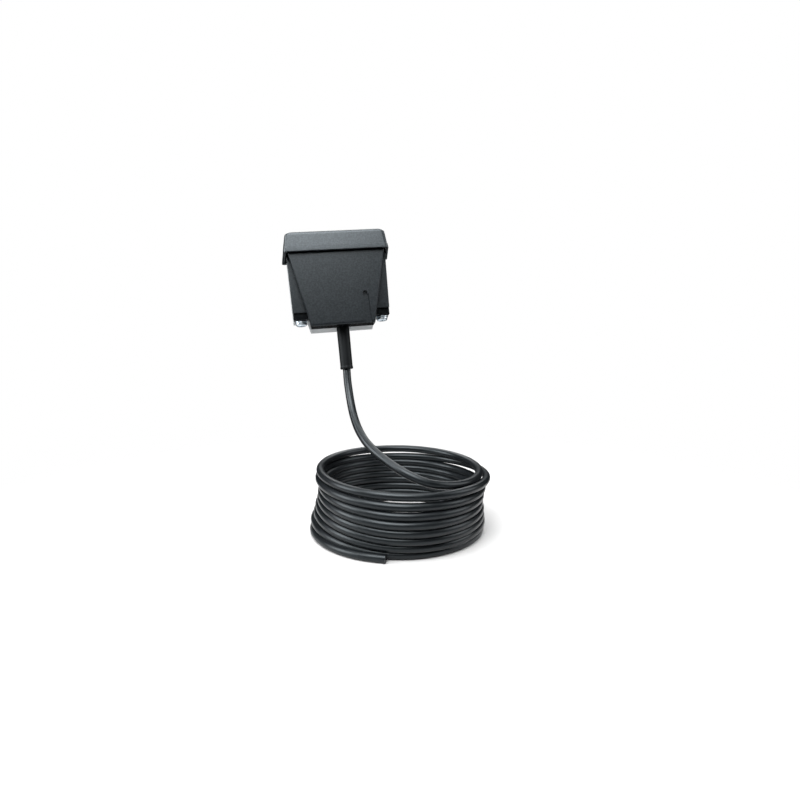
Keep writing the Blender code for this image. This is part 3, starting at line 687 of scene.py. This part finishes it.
@dataclass
class CoiledCable:
    """The cable from the sleeve's mouth, down in one curve, round the coil and out to its cut end.

    The route's points are in the row frame. Each row of radii and heights is one turn: right, back, left and front.
    """

    radius: float = 2.5 * MM
    length: float = 3.0
    sides: int = 8
    step: float = 3.0 * MM
    route: Sequence[tuple[float, float, float]] = (
        (3.75, -20.9, -47.2),
        (4.1, -23.7, -56.2),
        (4.7, -26.4, -62.4),
        (5.4, -29.8, -68.4),
        (6.3, -34.3, -74.3),
        (7.5, -39.8, -79.6),
        (9.4, -46.3, -84.9),
        (12.4, -53.7, -89.9),
        (16.6, -61.0, -94.1),
        (21.4, -67.6, -97.6),
        (25.8, -72.9, -100.3),
        (30.0, -77.6, -102.5),
        (35.3, -81.7, -105.0),
        (43.8, -84.2, -108.3),
        (53.2, -82.7, -110.6),
        (63.9, -77.1, -112.3),
    )
    start_deg: float = -34.0
    end_deg: float = 3142.0
    sample_deg: float = 15.0
    radii: Sequence[tuple[float, float, float, float]] = (
        (49.9, 50.3, 50.5, 53.0),
        (54.4, 50.8, 51.1, 54.5),
        (51.5, 50.5, 49.2, 55.5),
        (50.4, 50.5, 49.5, 56.3),
        (49.8, 50.5, 50.1, 55.7),
        (50.6, 50.8, 51.5, 54.6),
        (51.0, 51.0, 52.8, 52.9),
        (51.6, 51.2, 54.9, 51.2),
        (50.9, 51.2, 55.1, 56.4),
    )
    heights: Sequence[tuple[float, float, float, float]] = (
        (37.8, 39.8, 39.9, 36.2),
        (34.6, 33.9, 35.4, 30.9),
        (28.8, 29.8, 31.2, 25.9),
        (24.4, 25.4, 27.2, 21.2),
        (20.0, 21.0, 22.9, 16.5),
        (15.6, 16.6, 18.4, 11.8),
        (11.2, 11.9, 13.2, 7.1),
        (6.9, 7.2, 8.0, 2.5),
        (2.5, 2.5, 2.5, 2.5),
    )

    def build(self) -> bpy.types.Object:
        """Returns:
            The cable.
        """
        low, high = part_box("cable_coil")
        self.centre = Vector(((low.x + high.x) / 2, (low.y + high.y) / 2, low.z))
        points = smooth_path([Vector(point) * MM for point in self.route] + self._coil(), self.step)
        data = bpy.data.curves.new("cable", "CURVE")
        data.dimensions = "3D"
        data.bevel_depth = self.radius
        data.bevel_resolution = self.sides
        data.use_fill_caps = True
        spline = data.splines.new("POLY")
        spline.points.add(len(points) - 1)
        for point, place in zip(spline.points, points):
            point.co = (*place, 1.0)
        spline.use_smooth = True
        data.materials.append(CABLE_JACKET.material())
        cable = bpy.data.objects.new("cable", data)
        bpy.context.scene.collection.objects.link(cable)
        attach(cable, Body.HEAD.value)
        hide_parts("cable_tube", "cable_coil")
        run = sum((b - a).length for a, b in zip(points, points[1:]))
        log.info("cable: %.3f m through %d points", run, len(points))
        return cable

    @staticmethod
    def _between(rows: Sequence[Sequence[float]], quarter: float) -> float:
        """A smooth value at a quarter turn, from the values at the right, back, left and front of every turn."""
        values = [value for row in rows for value in row]
        index = math.floor(quarter)
        share = quarter - index
        a, b, c, d = (values[min(max(index + step, 0), len(values) - 1)] for step in (-1, 0, 1, 2))
        cubic = (3 * b - a - 3 * c + d) * share**3 + (2 * a - 5 * b + 4 * c - d) * share**2
        return 0.5 * (2 * b + (c - a) * share + cubic)

    def _coil(self) -> list[Vector]:
        """The coil's centreline, from its first point at the right to the cut end."""
        turned = Matrix.Rotation(math.radians(COIL_TURN_DEG), 3, "Z")
        count = round((self.end_deg - self.start_deg) / self.sample_deg)
        points = []
        for i in range(count + 1):
            degrees = self.start_deg + (self.end_deg - self.start_deg) * i / count
            angle = math.radians(degrees)
            radius = self._between(self.radii, degrees / 90.0)
            height = max(self._between(self.heights, degrees / 90.0), self.heights[-1][-1])
            offset = Vector((radius * math.cos(angle), radius * math.sin(angle), height)) * MM
            points.append(self.centre + turned @ offset)
        return points


# ------------------------------------------------------------
# The head
# ------------------------------------------------------------


@dataclass
class RainHood:
    """The deep cap over the shells: its cheeks flare to the back, and its edge is rounded over."""

    bottom: float = 45.9 * MM
    top: float = 58.2 * MM
    ceiling: float = 56.0 * MM
    front: float = -2.6 * MM
    back: float = 26.6 * MM
    front_half: Point = (32.4 * MM, 30.7 * MM)
    back_half: Point = (35.2 * MM, 33.6 * MM)
    draft: float = 0.6 * MM
    wall: float = 1.7 * MM
    corner: float = 2.6 * MM
    band_top: float = 48.6 * MM
    band_step: float = 0.22 * MM
    fillet_side: float = 3.0 * MM
    fillet_front: float = 1.3 * MM
    fillet_rise: float = 2.1 * MM
    fillet_steps: int = 6
    boss_radius: float = 4.3 * MM
    boss_bottom: float = 51.6 * MM
    insert_hole: float = 3.4 * MM
    insert_depth: float = 4.8 * MM

    def _ring(self, z: float, inset: float = 0.0, side: float = 0.0, front: float = 0.0) -> list[Vector]:
        """The outline at a height, moved in everywhere by the inset and further at its sides or at its front."""
        share = (z - self.bottom) / (self.top - self.bottom)
        near = self.front_half[0] + (self.front_half[1] - self.front_half[0]) * share - inset - side
        far = self.back_half[0] + (self.back_half[1] - self.back_half[0]) * share - inset - side
        y0 = self.front + self.draft * share + inset + front
        y1 = self.back - inset - front
        radius = max(self.corner - inset * 0.6, 0.3 * MM)
        corners = [(near, y0, radius), (far, y1, radius * 0.6), (-far, y1, radius * 0.6), (-near, y0, radius)]
        return [Vector((x, y, z)) for x, y in rounded_corners(corners)]

    def build(self, axes: HeadAxes, screw_x: float, axis_y: float) -> None:
        """Lofts the cap's skin, inside and out, and adds the bosses under its ceiling.

        Args:
            axes: The head's axes.
            screw_x: The fixing screws' distance from the middle.
            axis_y: Their depth.
        """
        lip = 0.35 * MM
        rings = [self._ring(self.ceiling, self.wall + 0.5 * MM), self._ring(self.ceiling - 0.5 * MM, self.wall)]
        rings += [self._ring(self.bottom + lip, self.wall), self._ring(self.bottom, self.wall - lip)]
        rings += [self._ring(self.bottom, lip), self._ring(self.bottom + lip * 0.3, lip * 0.3)]
        rings += [self._ring(self.bottom + lip), self._ring(self.band_top)]
        rings += [self._ring(self.band_top + self.band_step, self.band_step)]
        rise = self.top - self.fillet_rise
        for step in range(self.fillet_steps + 1):
            angle = math.pi / 2 * step / self.fillet_steps
            inward = 1.0 - math.cos(angle)
            height = rise + self.fillet_rise * math.sin(angle)
            side, front = self.fillet_side * inward, self.fillet_front * inward
            rings.append(self._ring(height, self.band_step, side, front))
        cap = Solid.rings("rain_hood", rings)
        for side in Side:
            at = Vector((side.value * screw_x, axis_y, 0.0))
            boss = (self.boss_bottom, self.ceiling + 0.5 * MM)
            hole = (self.boss_bottom - 1 * MM, self.boss_bottom + self.insert_depth)
            cap.add(Solid.rod("boss", self.boss_radius, boss, at))
            cap.cut(Solid.rod("hole", self.insert_hole, hole, at))
        cap.finish(axes, HOOD_PLASTIC, Body.HEAD, "hood_cap", "hood_plastic", 40.0)


@dataclass
class Shells:
    """The two half shells, which share one outline and meet on the parting plane."""

    depth: float = 27.0 * MM
    parting: float = 12.4 * MM
    gap: float = 0.3 * MM
    cover_bottom: float = 19.9 * MM
    cover_top: float = 29.8 * MM
    cover_rise: float = 45.4 * MM
    cover_edge: Point = (0.7 * MM, 1.7 * MM)
    ear_bottom: float = 30.5 * MM
    ear_top: float = 31.2 * MM
    ear_front: float = 6.5 * MM
    ear_z: float = 9.9 * MM
    boss_front: float = 8.0 * MM
    boss_z: float = 5.7 * MM
    boss_inner: float = 20.8 * MM
    neck_half: float = 29.2 * MM
    neck_front: float = 1.6 * MM
    neck_back: float = 24.4 * MM
    neck_top: float = 50.0 * MM
    cavity_bottom: float = 16.2 * MM
    cavity_half: float = 19.9 * MM
    cavity_shoulder: float = 17.0 * MM
    cavity_z: Point = (3.4 * MM, 46.5 * MM)
    cavity_front: float = 2.2 * MM
    cavity_back: float = 22.6 * MM
    screw_x: float = 25.9 * MM
    channel: float = 2.3 * MM
    ring_pocket: tuple[float, float, float] = (3.5 * MM, 13.1 * MM, 14.9 * MM)
    sleeve_hole: float = 4.1 * MM
    groove_left: float = 13.7 * MM
    groove_widths: Point = (3.1 * MM, 3.9 * MM)
    groove_top: float = 18.0 * MM
    groove_depth: float = 0.9 * MM
    dimple: tuple[float, float, float] = (15.1 * MM, 18.8 * MM, 1.4 * MM)
    plate_recess: float = 2.2 * MM
    flare: float = 1.0 * MM
    drop: float = 0.6 * MM
    rear_edge: float = 0.45 * MM

    @property
    def axis_y(self) -> float:
        """The depth of the screws' and the sleeve's axes, in the middle of the gap between the shells."""
        return self.parting + self.gap / 2

    def _slant(self, z: float) -> float:
        """Half width of the cover at height z."""
        return self.cover_bottom + (self.cover_top - self.cover_bottom) * z / self.cover_rise

    def _ear(self, z: float) -> float:
        """Half width over the ears at height z."""
        share = (z - self.boss_z) / (self.cover_rise - self.boss_z)
        return self.ear_bottom + (self.ear_top - self.ear_bottom) * share

    def _cavity(self, name: str, y0: float, y1: float) -> Solid:
        """The hollow of either shell."""
        half = [(self.cavity_bottom, self.cavity_z[0]), (self.cavity_half, self.cavity_shoulder)]
        return Solid.front_prism(name, symmetric([*half, (self.cavity_half, self.cavity_z[1])]), y0, y1)

    def _bores(self) -> list[Solid]:
        """What both shells have cut out: the screws' channels with the rings' pockets, and the sleeve's hole."""
        radius, low, high = self.ring_pocket
        top = self.neck_top + 1 * MM
        profile = [(0.0, 0.0), (self.channel, 0.0), (self.channel, low), (radius, low)]
        profile += [(radius, high), (self.channel, high), (self.channel, top), (0.0, top)]
        bores = []
        for side in Side:
            at = Vector((side.value * self.screw_x, self.axis_y, 0.0))
            bores.append(Solid.turned("channel", profile, at, 32))
        ends = (-1 * MM, self.cavity_z[0] + 0.5 * MM)
        at = Vector((0.0, self.axis_y, 0.0))
        return [*bores, Solid.rod("sleeve_hole", self.sleeve_hole, ends, at, 40)]

    def _neck(self, y0: float, y1: float) -> Solid:
        """The raised neck that the hood covers."""
        z = (self.cover_rise - 2 * MM, self.neck_top)
        return Solid.box("neck", (-self.neck_half, self.neck_half), (y0, y1), z)

    def build(self, axes: HeadAxes) -> None:
        """Builds both shells.

        Args:
            axes: The head's axes.
        """
        bores = self._bores()
        front = self._front(bores)
        front.paint(SMOOTH_BLACK, self._is_smooth)
        front.finish(axes, COVER_PLASTIC, Body.HEAD, "front_shell", "cover_plastic")
        self._rear(bores).finish(axes, GREY_PLASTIC, Body.HEAD, "rear_shell", "grey_plastic")
        for bore in bores:
            bpy.data.objects.remove(bore.object, do_unlink=True)

    def _is_smooth(self, centre: Vector, normal: Vector) -> bool:
        """Whether a face of the front shell has no grain: the bosses, and whatever doesn't face the front."""
        boss = abs(centre.x) > self.boss_inner and centre.z < self.ear_z - 0.2 * MM
        return boss or (centre.y > 1 * MM and normal.y > -0.45)

    def _front(self, bores: list[Solid]) -> Solid:
        """The black shell: cover, ears, screw bosses, neck and the groove with its dimple."""
        side, under = self.cover_edge
        rings = []
        for step in range(7):
            angle = math.pi / 2 * step / 6
            near, deep = 1.0 - math.sin(angle), 1.0 - math.cos(angle)
            bottom = under * near
            half = [(self._slant(bottom) - side * near, bottom), (self.cover_top - side * near, self.cover_rise)]
            rings.append([Vector((x, side * 1.4 * deep, z)) for x, z in symmetric(half)])
        rings.append([Vector((x, self.parting, z)) for x, _, z in rings[-1]])
        shell = Solid.rings("front_half_shell", rings)
        top = (self._ear(self.cover_rise), self.cover_rise - 0.1 * MM)
        ears = symmetric([(self._ear(self.ear_z), self.ear_z), top])
        shell.add(Solid.front_prism("ears", ears, self.ear_front, self.parting).bevel(0.5 * MM))
        for side in Side:
            x = tuple(sorted((side.value * self.boss_inner, side.value * self.ear_bottom)))
            z = (self.boss_z, self.ear_z + 2 * MM)
            shell.add(Solid.box("boss", x, (self.boss_front, self.parting), z).bevel(0.35 * MM))
        shell.add(self._neck(self.neck_front, self.parting))
        shell.cut(self._cavity("cavity", self.cavity_front, self.parting + 1 * MM))
        shell.cut(*bores, keep=True)
        shell.cut(self._groove(), self._dimple())
        return shell

    def _groove(self) -> Solid:
        """The cutter of the shallow groove that runs off the cover's lower edge."""
        top, bottom = self.groove_widths
        left = self.groove_left
        outline = [(left + bottom, -1 * MM), (left + top, self.groove_top), (left, self.groove_top), (left, -1 * MM)]
        deep = [Vector((x, self.groove_depth, z)) for x, z in outline]
        slopes = (0.75 * MM, 0.75 * MM, 0.0, 0.0)
        wide = [Vector((x + grow, -0.5 * MM, z)) for (x, z), grow in zip(outline, slopes)]
        return Solid.rings("groove", [wide, deep])

    def _dimple(self) -> Solid:
        """The cutter of the round dimple at the groove's upper end."""
        x, z, radius = self.dimple
        profile = [(0.0, 0.0), (radius, -1 * MM), (radius, 1.3 * MM), (radius * 0.6, 1.7 * MM), (0.0, 0.0)]
        return Solid.turned("dimple", profile, Vector((x, 0.0, z)), 32, Along.DEPTH)

    def _rear(self, bores: list[Solid]) -> Solid:
        """The light grey shell: the same outline as the cover and its ears, flat at the back."""
        start = self.parting + self.gap
        half = [(self.cover_bottom, 0.0), (self._slant(self.boss_z), self.boss_z), (self.ear_bottom, self.boss_z)]
        near = [*half, (self._ear(self.cover_rise), self.cover_rise - 0.1 * MM)]
        far = [(self.cover_bottom + self.drop, -self.drop), *((x + self.flare, z) for x, z in near[1:])]
        rings = [[Vector((x, y, z)) for x, z in symmetric(row)] for row, y in ((near, start), (far, self.depth))]
        shell = Solid.rings("rear_half_shell", rings)
        shell.bevel(self.rear_edge)
        shell.add(self._neck(start, self.neck_back))
        shell.cut(self._cavity("cavity", start - 1 * MM, self.cavity_back))
        shell.cut(*bores, keep=True)
        outline = WallPlate().outline(self.gap)
        shell.cut(Solid.front_prism("recess", outline, self.depth - self.plate_recess, self.depth + 1 * MM))
        return shell


@dataclass
class WallPlate:
    """The plate on the back, with its two wall screw holes and the screws that hold it in the shell."""

    half: float = 15.0 * MM
    z: Point = (9.0 * MM, 41.0 * MM)
    corner: float = 2.5 * MM
    back: float = 27.0 * MM
    thick: float = 1.9 * MM
    hole: float = 2.2 * MM
    hole_zs: Point = (15.0 * MM, 35.0 * MM)
    screw_x: float = 10.8 * MM
    screw_z: float = 25.0 * MM
    screw_tip: float = 20.0 * MM
    screw_face: float = 26.85 * MM

    def outline(self, grow: float = 0.0) -> list[Point]:
        """The plate's rounded outline, as (x, z)."""
        half, low, high = self.half + grow, self.z[0] - grow, self.z[1] + grow
        radius = self.corner + grow
        corners = ((half, low), (half, high), (-half, high), (-half, low))
        return rounded_corners([(*corner, radius) for corner in corners])

    def build(self, axes: HeadAxes) -> None:
        """Builds the plate and its two countersunk screws.

        Args:
            axes: The head's axes.
        """
        front = self.back - self.thick
        plate = Solid.front_prism("wall_plate_fine", self.outline(), front, self.back)
        plate.bevel(0.25 * MM, 2, 60.0)
        for z in self.hole_zs:
            ends = (front - 1 * MM, self.back + 1 * MM)
            plate.cut(Solid.rod("hole", self.hole, ends, Vector((0.0, 0.0, z)), 40, Along.DEPTH))
        for side in Side:
            at = Vector((side.value * self.screw_x, 0.0, self.screw_z))
            sink = [(0.0, 0.0), (1.3 * MM, front - 1 * MM), (1.3 * MM, 25.5 * MM), (2.7 * MM, 26.9 * MM)]
            sink += [(2.7 * MM, self.back + 1 * MM), (0.0, 0.0)]
            plate.cut(Solid.turned("sink", sink, at, 40, Along.DEPTH))
            self._screw(axes, side, at)
        plate.finish(axes, GREY_PLASTIC, Body.HEAD, "wall_plate", "grey_plastic")

    def _screw(self, axes: HeadAxes, side: Side, at: Vector) -> None:
        """One countersunk screw with a crossed recess."""
        profile = [(0.0, 0.0), (1.0 * MM, self.screw_tip), (1.0 * MM, 25.6 * MM), (2.2 * MM, 26.6 * MM)]
        profile += [(2.3 * MM, 26.72 * MM), (2.22 * MM, self.screw_face), (0.0, 0.0)]
        screw = Solid.turned(f"plate_screw_{side.word}_fine", profile, at, 32, Along.DEPTH)
        for width, tall in ((2.4 * MM, 0.5 * MM), (0.5 * MM, 2.4 * MM)):
            x = (at.x - width / 2, at.x + width / 2)
            z = (at.z - tall / 2, at.z + tall / 2)
            screw.cut(Solid.box("slot", x, (self.screw_face - 0.8 * MM, self.screw_face + 1 * MM), z))
        screw.finish(axes, ZINC, Body.HEAD, f"plate_screw_{side.word}", "zinc_steel")


@dataclass
class FixingScrew:
    """One long pan head screw and its washer, below an ear."""

    side: Side
    x: float = 25.9 * MM
    y: float = 12.55 * MM
    seat: float = 5.7 * MM
    washer_radius: float = 3.75 * MM
    washer_thick: float = 0.6 * MM
    gap: float = 0.3 * MM
    head_radius: float = 3.5 * MM
    head_height: float = 2.2 * MM
    shank: float = 2.0 * MM
    top: float = 55.6 * MM
    pitch: float = 0.7 * MM
    thread_length: float = 9.0 * MM
    recess: tuple[float, float, float] = (4.2 * MM, 0.9 * MM, 1.4 * MM)

    def build(self, axes: HeadAxes) -> None:
        """Builds the screw, with threads at its upper end, and the washer.

        Args:
            axes: The head's axes.
        """
        at = Vector((self.side.value * self.x, self.y, 0.0))
        under = self.seat - self.washer_thick - 2 * self.gap
        face = under - self.head_height
        profile = [(0.0, 0.0), (self.head_radius * 0.55, face)]
        for step in range(7):
            angle = math.radians(15.0 + 75.0 * step / 6)
            reach = self.head_radius * (0.55 + 0.45 * math.sin(angle))
            profile.append((reach, face + 1.3 * MM * (1.0 - math.cos(angle))))
        profile += [(self.head_radius, under - 0.1 * MM), (self.head_radius - 0.1 * MM, under), (self.shank, under)]
        crest, root = self.shank, self.shank - 0.28 * MM
        start = self.top - self.thread_length
        profile.append((crest, start))
        turns = int(self.thread_length / self.pitch) - 1
        for turn in range(turns):
            z = start + turn * self.pitch
            profile += [(root, z + self.pitch * 0.4), (root, z + self.pitch * 0.5), (crest, z + self.pitch * 0.9)]
        profile += [(self.shank - 0.5 * MM, self.top), (0.0, 0.0)]
        screw = Solid.turned(f"long_screw_{self.side.word}", profile, at, 40)
        length, width, depth = self.recess
        for wide, deep in ((length, width), (width, length)):
            x = (at.x - wide / 2, at.x + wide / 2)
            y = (at.y - deep / 2, at.y + deep / 2)
            screw.cut(Solid.box("recess", x, y, (face - 1 * MM, face + depth)))
        body = Body[f"SCREW_{self.side.name}"]
        screw.finish(axes, ZINC, body, f"fixing_screw_{self.side.word}", "zinc_steel")
        self._washer(axes, at)

    def _washer(self, axes: HeadAxes, at: Vector) -> None:
        """The thin washer between the head and the ear."""
        high = self.seat - self.gap
        low = high - self.washer_thick
        edge = 0.12 * MM
        inner, outer = self.shank + self.gap, self.washer_radius
        profile = [(inner, low), (outer - edge, low), (outer, low + edge), (outer, high - edge)]
        profile += [(outer - edge, high), (inner, high)]
        washer = Solid.turned(f"washer_{self.side.word}_fine", profile, at, 48)
        washer.finish(axes, ZINC, Body.HEAD, f"washer_{self.side.word}", "zinc_steel")


@dataclass
class StrainRelief:
    """The long soft sleeve that the cable leaves through, with a lip at its mouth."""

    y: float = 12.55 * MM
    bore: float = 2.8 * MM
    radius: float = 4.1 * MM
    waist: float = 3.95 * MM
    length: float = 27.0 * MM
    lip: float = 1.6 * MM
    collar: float = 5.4 * MM
    collar_z: Point = (3.7 * MM, 5.5 * MM)

    def build(self, axes: HeadAxes) -> None:
        """Turns the sleeve's whole profile, bore and collar included.

        Args:
            axes: The head's axes.
        """
        mouth = -self.length
        profile = [(self.bore, mouth + 0.25 * MM), (self.bore + 0.25 * MM, mouth), (self.radius - 0.35 * MM, mouth)]
        profile += [(self.radius - 0.1 * MM, mouth + 0.1 * MM), (self.radius, mouth + 0.4 * MM)]
        profile += [(self.radius, mouth + self.lip - 0.3 * MM), (self.radius - 0.08 * MM, mouth + self.lip)]
        profile += [(self.waist - 0.02 * MM, mouth + self.lip + 0.45 * MM)]
        for step in range(9):
            share = step / 8
            z = mouth + self.lip + 0.8 * MM + (self.length - self.lip - 1.2 * MM) * share
            profile.append((self.waist + (self.radius - self.waist) * share**2, z))
        profile += [(self.radius, -0.3 * MM), (3.8 * MM, -0.3 * MM), (3.8 * MM, self.collar_z[0])]
        profile += [(self.collar, self.collar_z[0]), (self.collar, self.collar_z[1]), (self.bore, self.collar_z[1])]
        sleeve = Solid.turned("strain_relief", profile, Vector((0.0, self.y, 0.0)), 64)
        sleeve.finish(axes, SLEEVE_RUBBER, Body.HEAD, "cable_sleeve", "sleeve_rubber")


@dataclass
class Insides:
    """The nodes that stay as they are, inside the shells, and the finish of each."""

    finishes: dict[str, Finish] = field(
        default_factory=lambda: {
            "hood_gasket": SEAL_RUBBER,
            "shell_seal": SEAL_RUBBER,
            "captive_ring_": SEAL_RUBBER,
            "insert_": BRASS,
            "clamp_screw_": ZINC,
            "board_screw_": ZINC,
            "terminal_screw_": ZINC,
            "sensing_element": ZINC,
            "capacitor": ALUMINIUM,
            "cable_inner": CABLE_JACKET,
            "cable_clamp": TERMINAL_GREY,
            "terminal_block": TERMINAL_GREY,
            "circuit_board": BOARD_GREEN,
            "signal_chip": CHIP_BLACK,
            "core_brown": CORE_BROWN,
            "core_white": CORE_WHITE,
            "core_green": CORE_GREEN,
        }
    )

    def dress(self, nodes: dict[str, bpy.types.Object]) -> None:
        """Gives each inner node its finish.

        Args:
            nodes: The model's nodes by name.
        """
        for name, node in nodes.items():
            finish = next((made for start, made in self.finishes.items() if name.startswith(start)), None)
            if finish:
                node.data.materials.clear()
                node.data.materials.append(finish.material())
                log.info("%s: %s", name, finish.name)


# ------------------------------------------------------------
# The studio
# ------------------------------------------------------------


@dataclass(frozen=True)
class Softbox:
    """One soft rectangular light, placed round the object."""

    name: str
    azimuth_deg: float
    elevation_deg: float
    distance: float
    width: float
    height: float
    power: float

    def build(self, target: Vector) -> None:
        """Places the light, facing the target."""
        data = bpy.data.lights.new(self.name, "AREA")
        data.shape = "RECTANGLE"
        data.size = self.width
        data.size_y = self.height
        data.energy = self.power
        light = bpy.data.objects.new(self.name, data)
        bpy.context.scene.collection.objects.link(light)
        azimuth, elevation = math.radians(self.azimuth_deg), math.radians(self.elevation_deg)
        flat = math.cos(elevation)
        way = Vector((math.sin(azimuth) * flat, -math.cos(azimuth) * flat, math.sin(elevation)))
        light.location = target + way * self.distance
        light.rotation_euler = (-way).to_track_quat("-Z", "Y").to_euler()
        light.visible_camera = False


@dataclass
class Studio:
    """The camera, the lights, and the white floor and backdrop."""

    camera_distance: float = 320.0 * MM
    camera_height: float = 122.7 * MM
    camera_turn_deg: float = COIL_TURN_DEG
    camera_aside: float = -0.2 * MM
    pitch_deg: float = 7.2
    lens_mm: float = 23.0
    floor_radius: float = 0.6
    fade: Point = (0.14, 0.34)
    dome_radius: float = 2.5
    white: float = 1.0
    paper: float = 0.67
    bounce: float = 0.55
    bounce_radius: float = 0.2

    def __post_init__(self) -> None:
        """Reads where the coil stands."""
        low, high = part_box("cable_coil")
        self.foot = Vector(((low.x + high.x) / 2, (low.y + high.y) / 2, low.z))

    def place_camera(self) -> None:
        """The camera, in front of the coil and a little to its left, looking slightly down."""
        data = bpy.data.cameras.new("camera")
        data.lens = self.lens_mm
        data.sensor_width = 36.0
        data.clip_start = 0.005
        camera = bpy.data.objects.new("camera", data)
        bpy.context.scene.collection.objects.link(camera)
        turn = Matrix.Rotation(math.radians(self.camera_turn_deg), 3, "Z")
        camera.location = self.foot + turn @ Vector((self.camera_aside, -self.camera_distance, self.camera_height))
        pitch = math.radians(self.pitch_deg)
        way = turn @ Vector((0.0, math.cos(pitch), -math.sin(pitch)))
        camera.rotation_euler = way.to_track_quat("-Z", "Y").to_euler()
        bpy.context.scene.camera = camera
        bpy.context.scene.view_settings.view_transform = "Standard"

    def light(self) -> None:
        """The softboxes and the dim surroundings."""
        boxes = (
            Softbox("light_over", -26.0, 52.0, 0.7, 0.6, 0.45, 7.2),
            Softbox("light_top", 0.0, 88.0, 0.7, 0.7, 0.7, 4.5),
            Softbox("light_left", -84.0, 20.0, 0.7, 0.35, 0.5, 4.2),
            Softbox("light_right", 78.0, 24.0, 0.8, 0.4, 0.5, 2.0),
            Softbox("light_back", 170.0, 42.0, 0.8, 0.8, 0.4, 4.0),
        )
        for softbox in boxes:
            softbox.build(self.foot + Vector((0.0, 0.0, 0.09)))
        world = bpy.data.worlds.new("surroundings")
        bpy.context.scene.world = world
        world.use_nodes = True
        graph = Graph(world.node_tree)
        glow = graph.node("ShaderNodeBackground", None, {"Color": (0.95, 0.98, 1.0, 1.0), "Strength": 0.02})
        graph.node("ShaderNodeOutputWorld", None, {"Surface": glow})

    def _stage(self, name: str, bm: bmesh.types.BMesh, build: Callable[[Graph], Signal]) -> bpy.types.Object:
        """A stage object with the shader that the function builds."""
        mesh = bpy.data.meshes.new(name)
        bm.to_mesh(mesh)
        bm.free()
        mesh.shade_smooth()
        made = bpy.data.materials.new(name)
        made.use_nodes = True
        graph = Graph(made.node_tree)
        graph.surface(build(graph))
        mesh.materials.append(made)
        stage = bpy.data.objects.new(name, mesh)
        bpy.context.scene.collection.objects.link(stage)
        stage.location = self.foot
        return stage

    @staticmethod
    def _disc(radius: float) -> bmesh.types.BMesh:
        """A flat round floor."""
        bm = bmesh.new()
        bmesh.ops.create_circle(bm, cap_ends=True, segments=96, radius=radius)
        return bm

    def build_floor(self) -> None:
        """The floor that is seen, the one that only bounces light, and the backdrop round them."""

        def seen(graph: Graph) -> Signal:
            """White that fades out into the backdrop."""
            white = graph.node("ShaderNodeBsdfDiffuse", None, {"Color": (self.paper,) * 3 + (1.0,)})
            clear = graph.node("ShaderNodeBsdfTransparent")
            far = graph.node("ShaderNodeVectorMath", {"operation": "LENGTH"}, {0: graph.place()}, "Value")
            return graph.node("ShaderNodeMixShader", None, {0: far.between(*self.fade), 1: white, 2: clear})

        def bouncing(graph: Graph) -> Signal:
            """Plain white paper."""
            return graph.node("ShaderNodeBsdfDiffuse", None, {"Color": (self.bounce,) * 3 + (1.0,)})

        def glowing(graph: Graph) -> Signal:
            """An even white backdrop."""
            return graph.node("ShaderNodeEmission", None, {"Strength": self.white})

        floor = self._stage("floor", self._disc(self.floor_radius), seen)
        under = self._stage("floor_bounce", self._disc(self.bounce_radius), bouncing)
        under.location.z -= 0.05 * MM
        dome = bmesh.new()
        bmesh.ops.create_icosphere(dome, subdivisions=4, radius=self.dome_radius)
        backdrop = self._stage("backdrop", dome, glowing)
        for stage in (floor, backdrop):
            stage.visible_diffuse = False
            stage.visible_glossy = False
            stage.visible_transmission = False
            stage.visible_shadow = False
        under.visible_camera = False


def main() -> None:
    """Builds the camera and the cable first, then the head, then the studio."""
    logging.basicConfig(level=logging.INFO, format="%(name)s %(message)s")
    studio = Studio()
    studio.place_camera()
    CoiledCable().build()
    axes = HeadAxes(frame["record"])
    shells = Shells()
    shells.build(axes)
    RainHood().build(axes, shells.screw_x, shells.axis_y)
    WallPlate().build(axes)
    for side in Side:
        FixingScrew(side).build(axes)
    StrainRelief().build(axes)
    Insides().dress(frame["nodes"])
    studio.build_floor()
    studio.light()


if __name__ == "__main__":
    main()
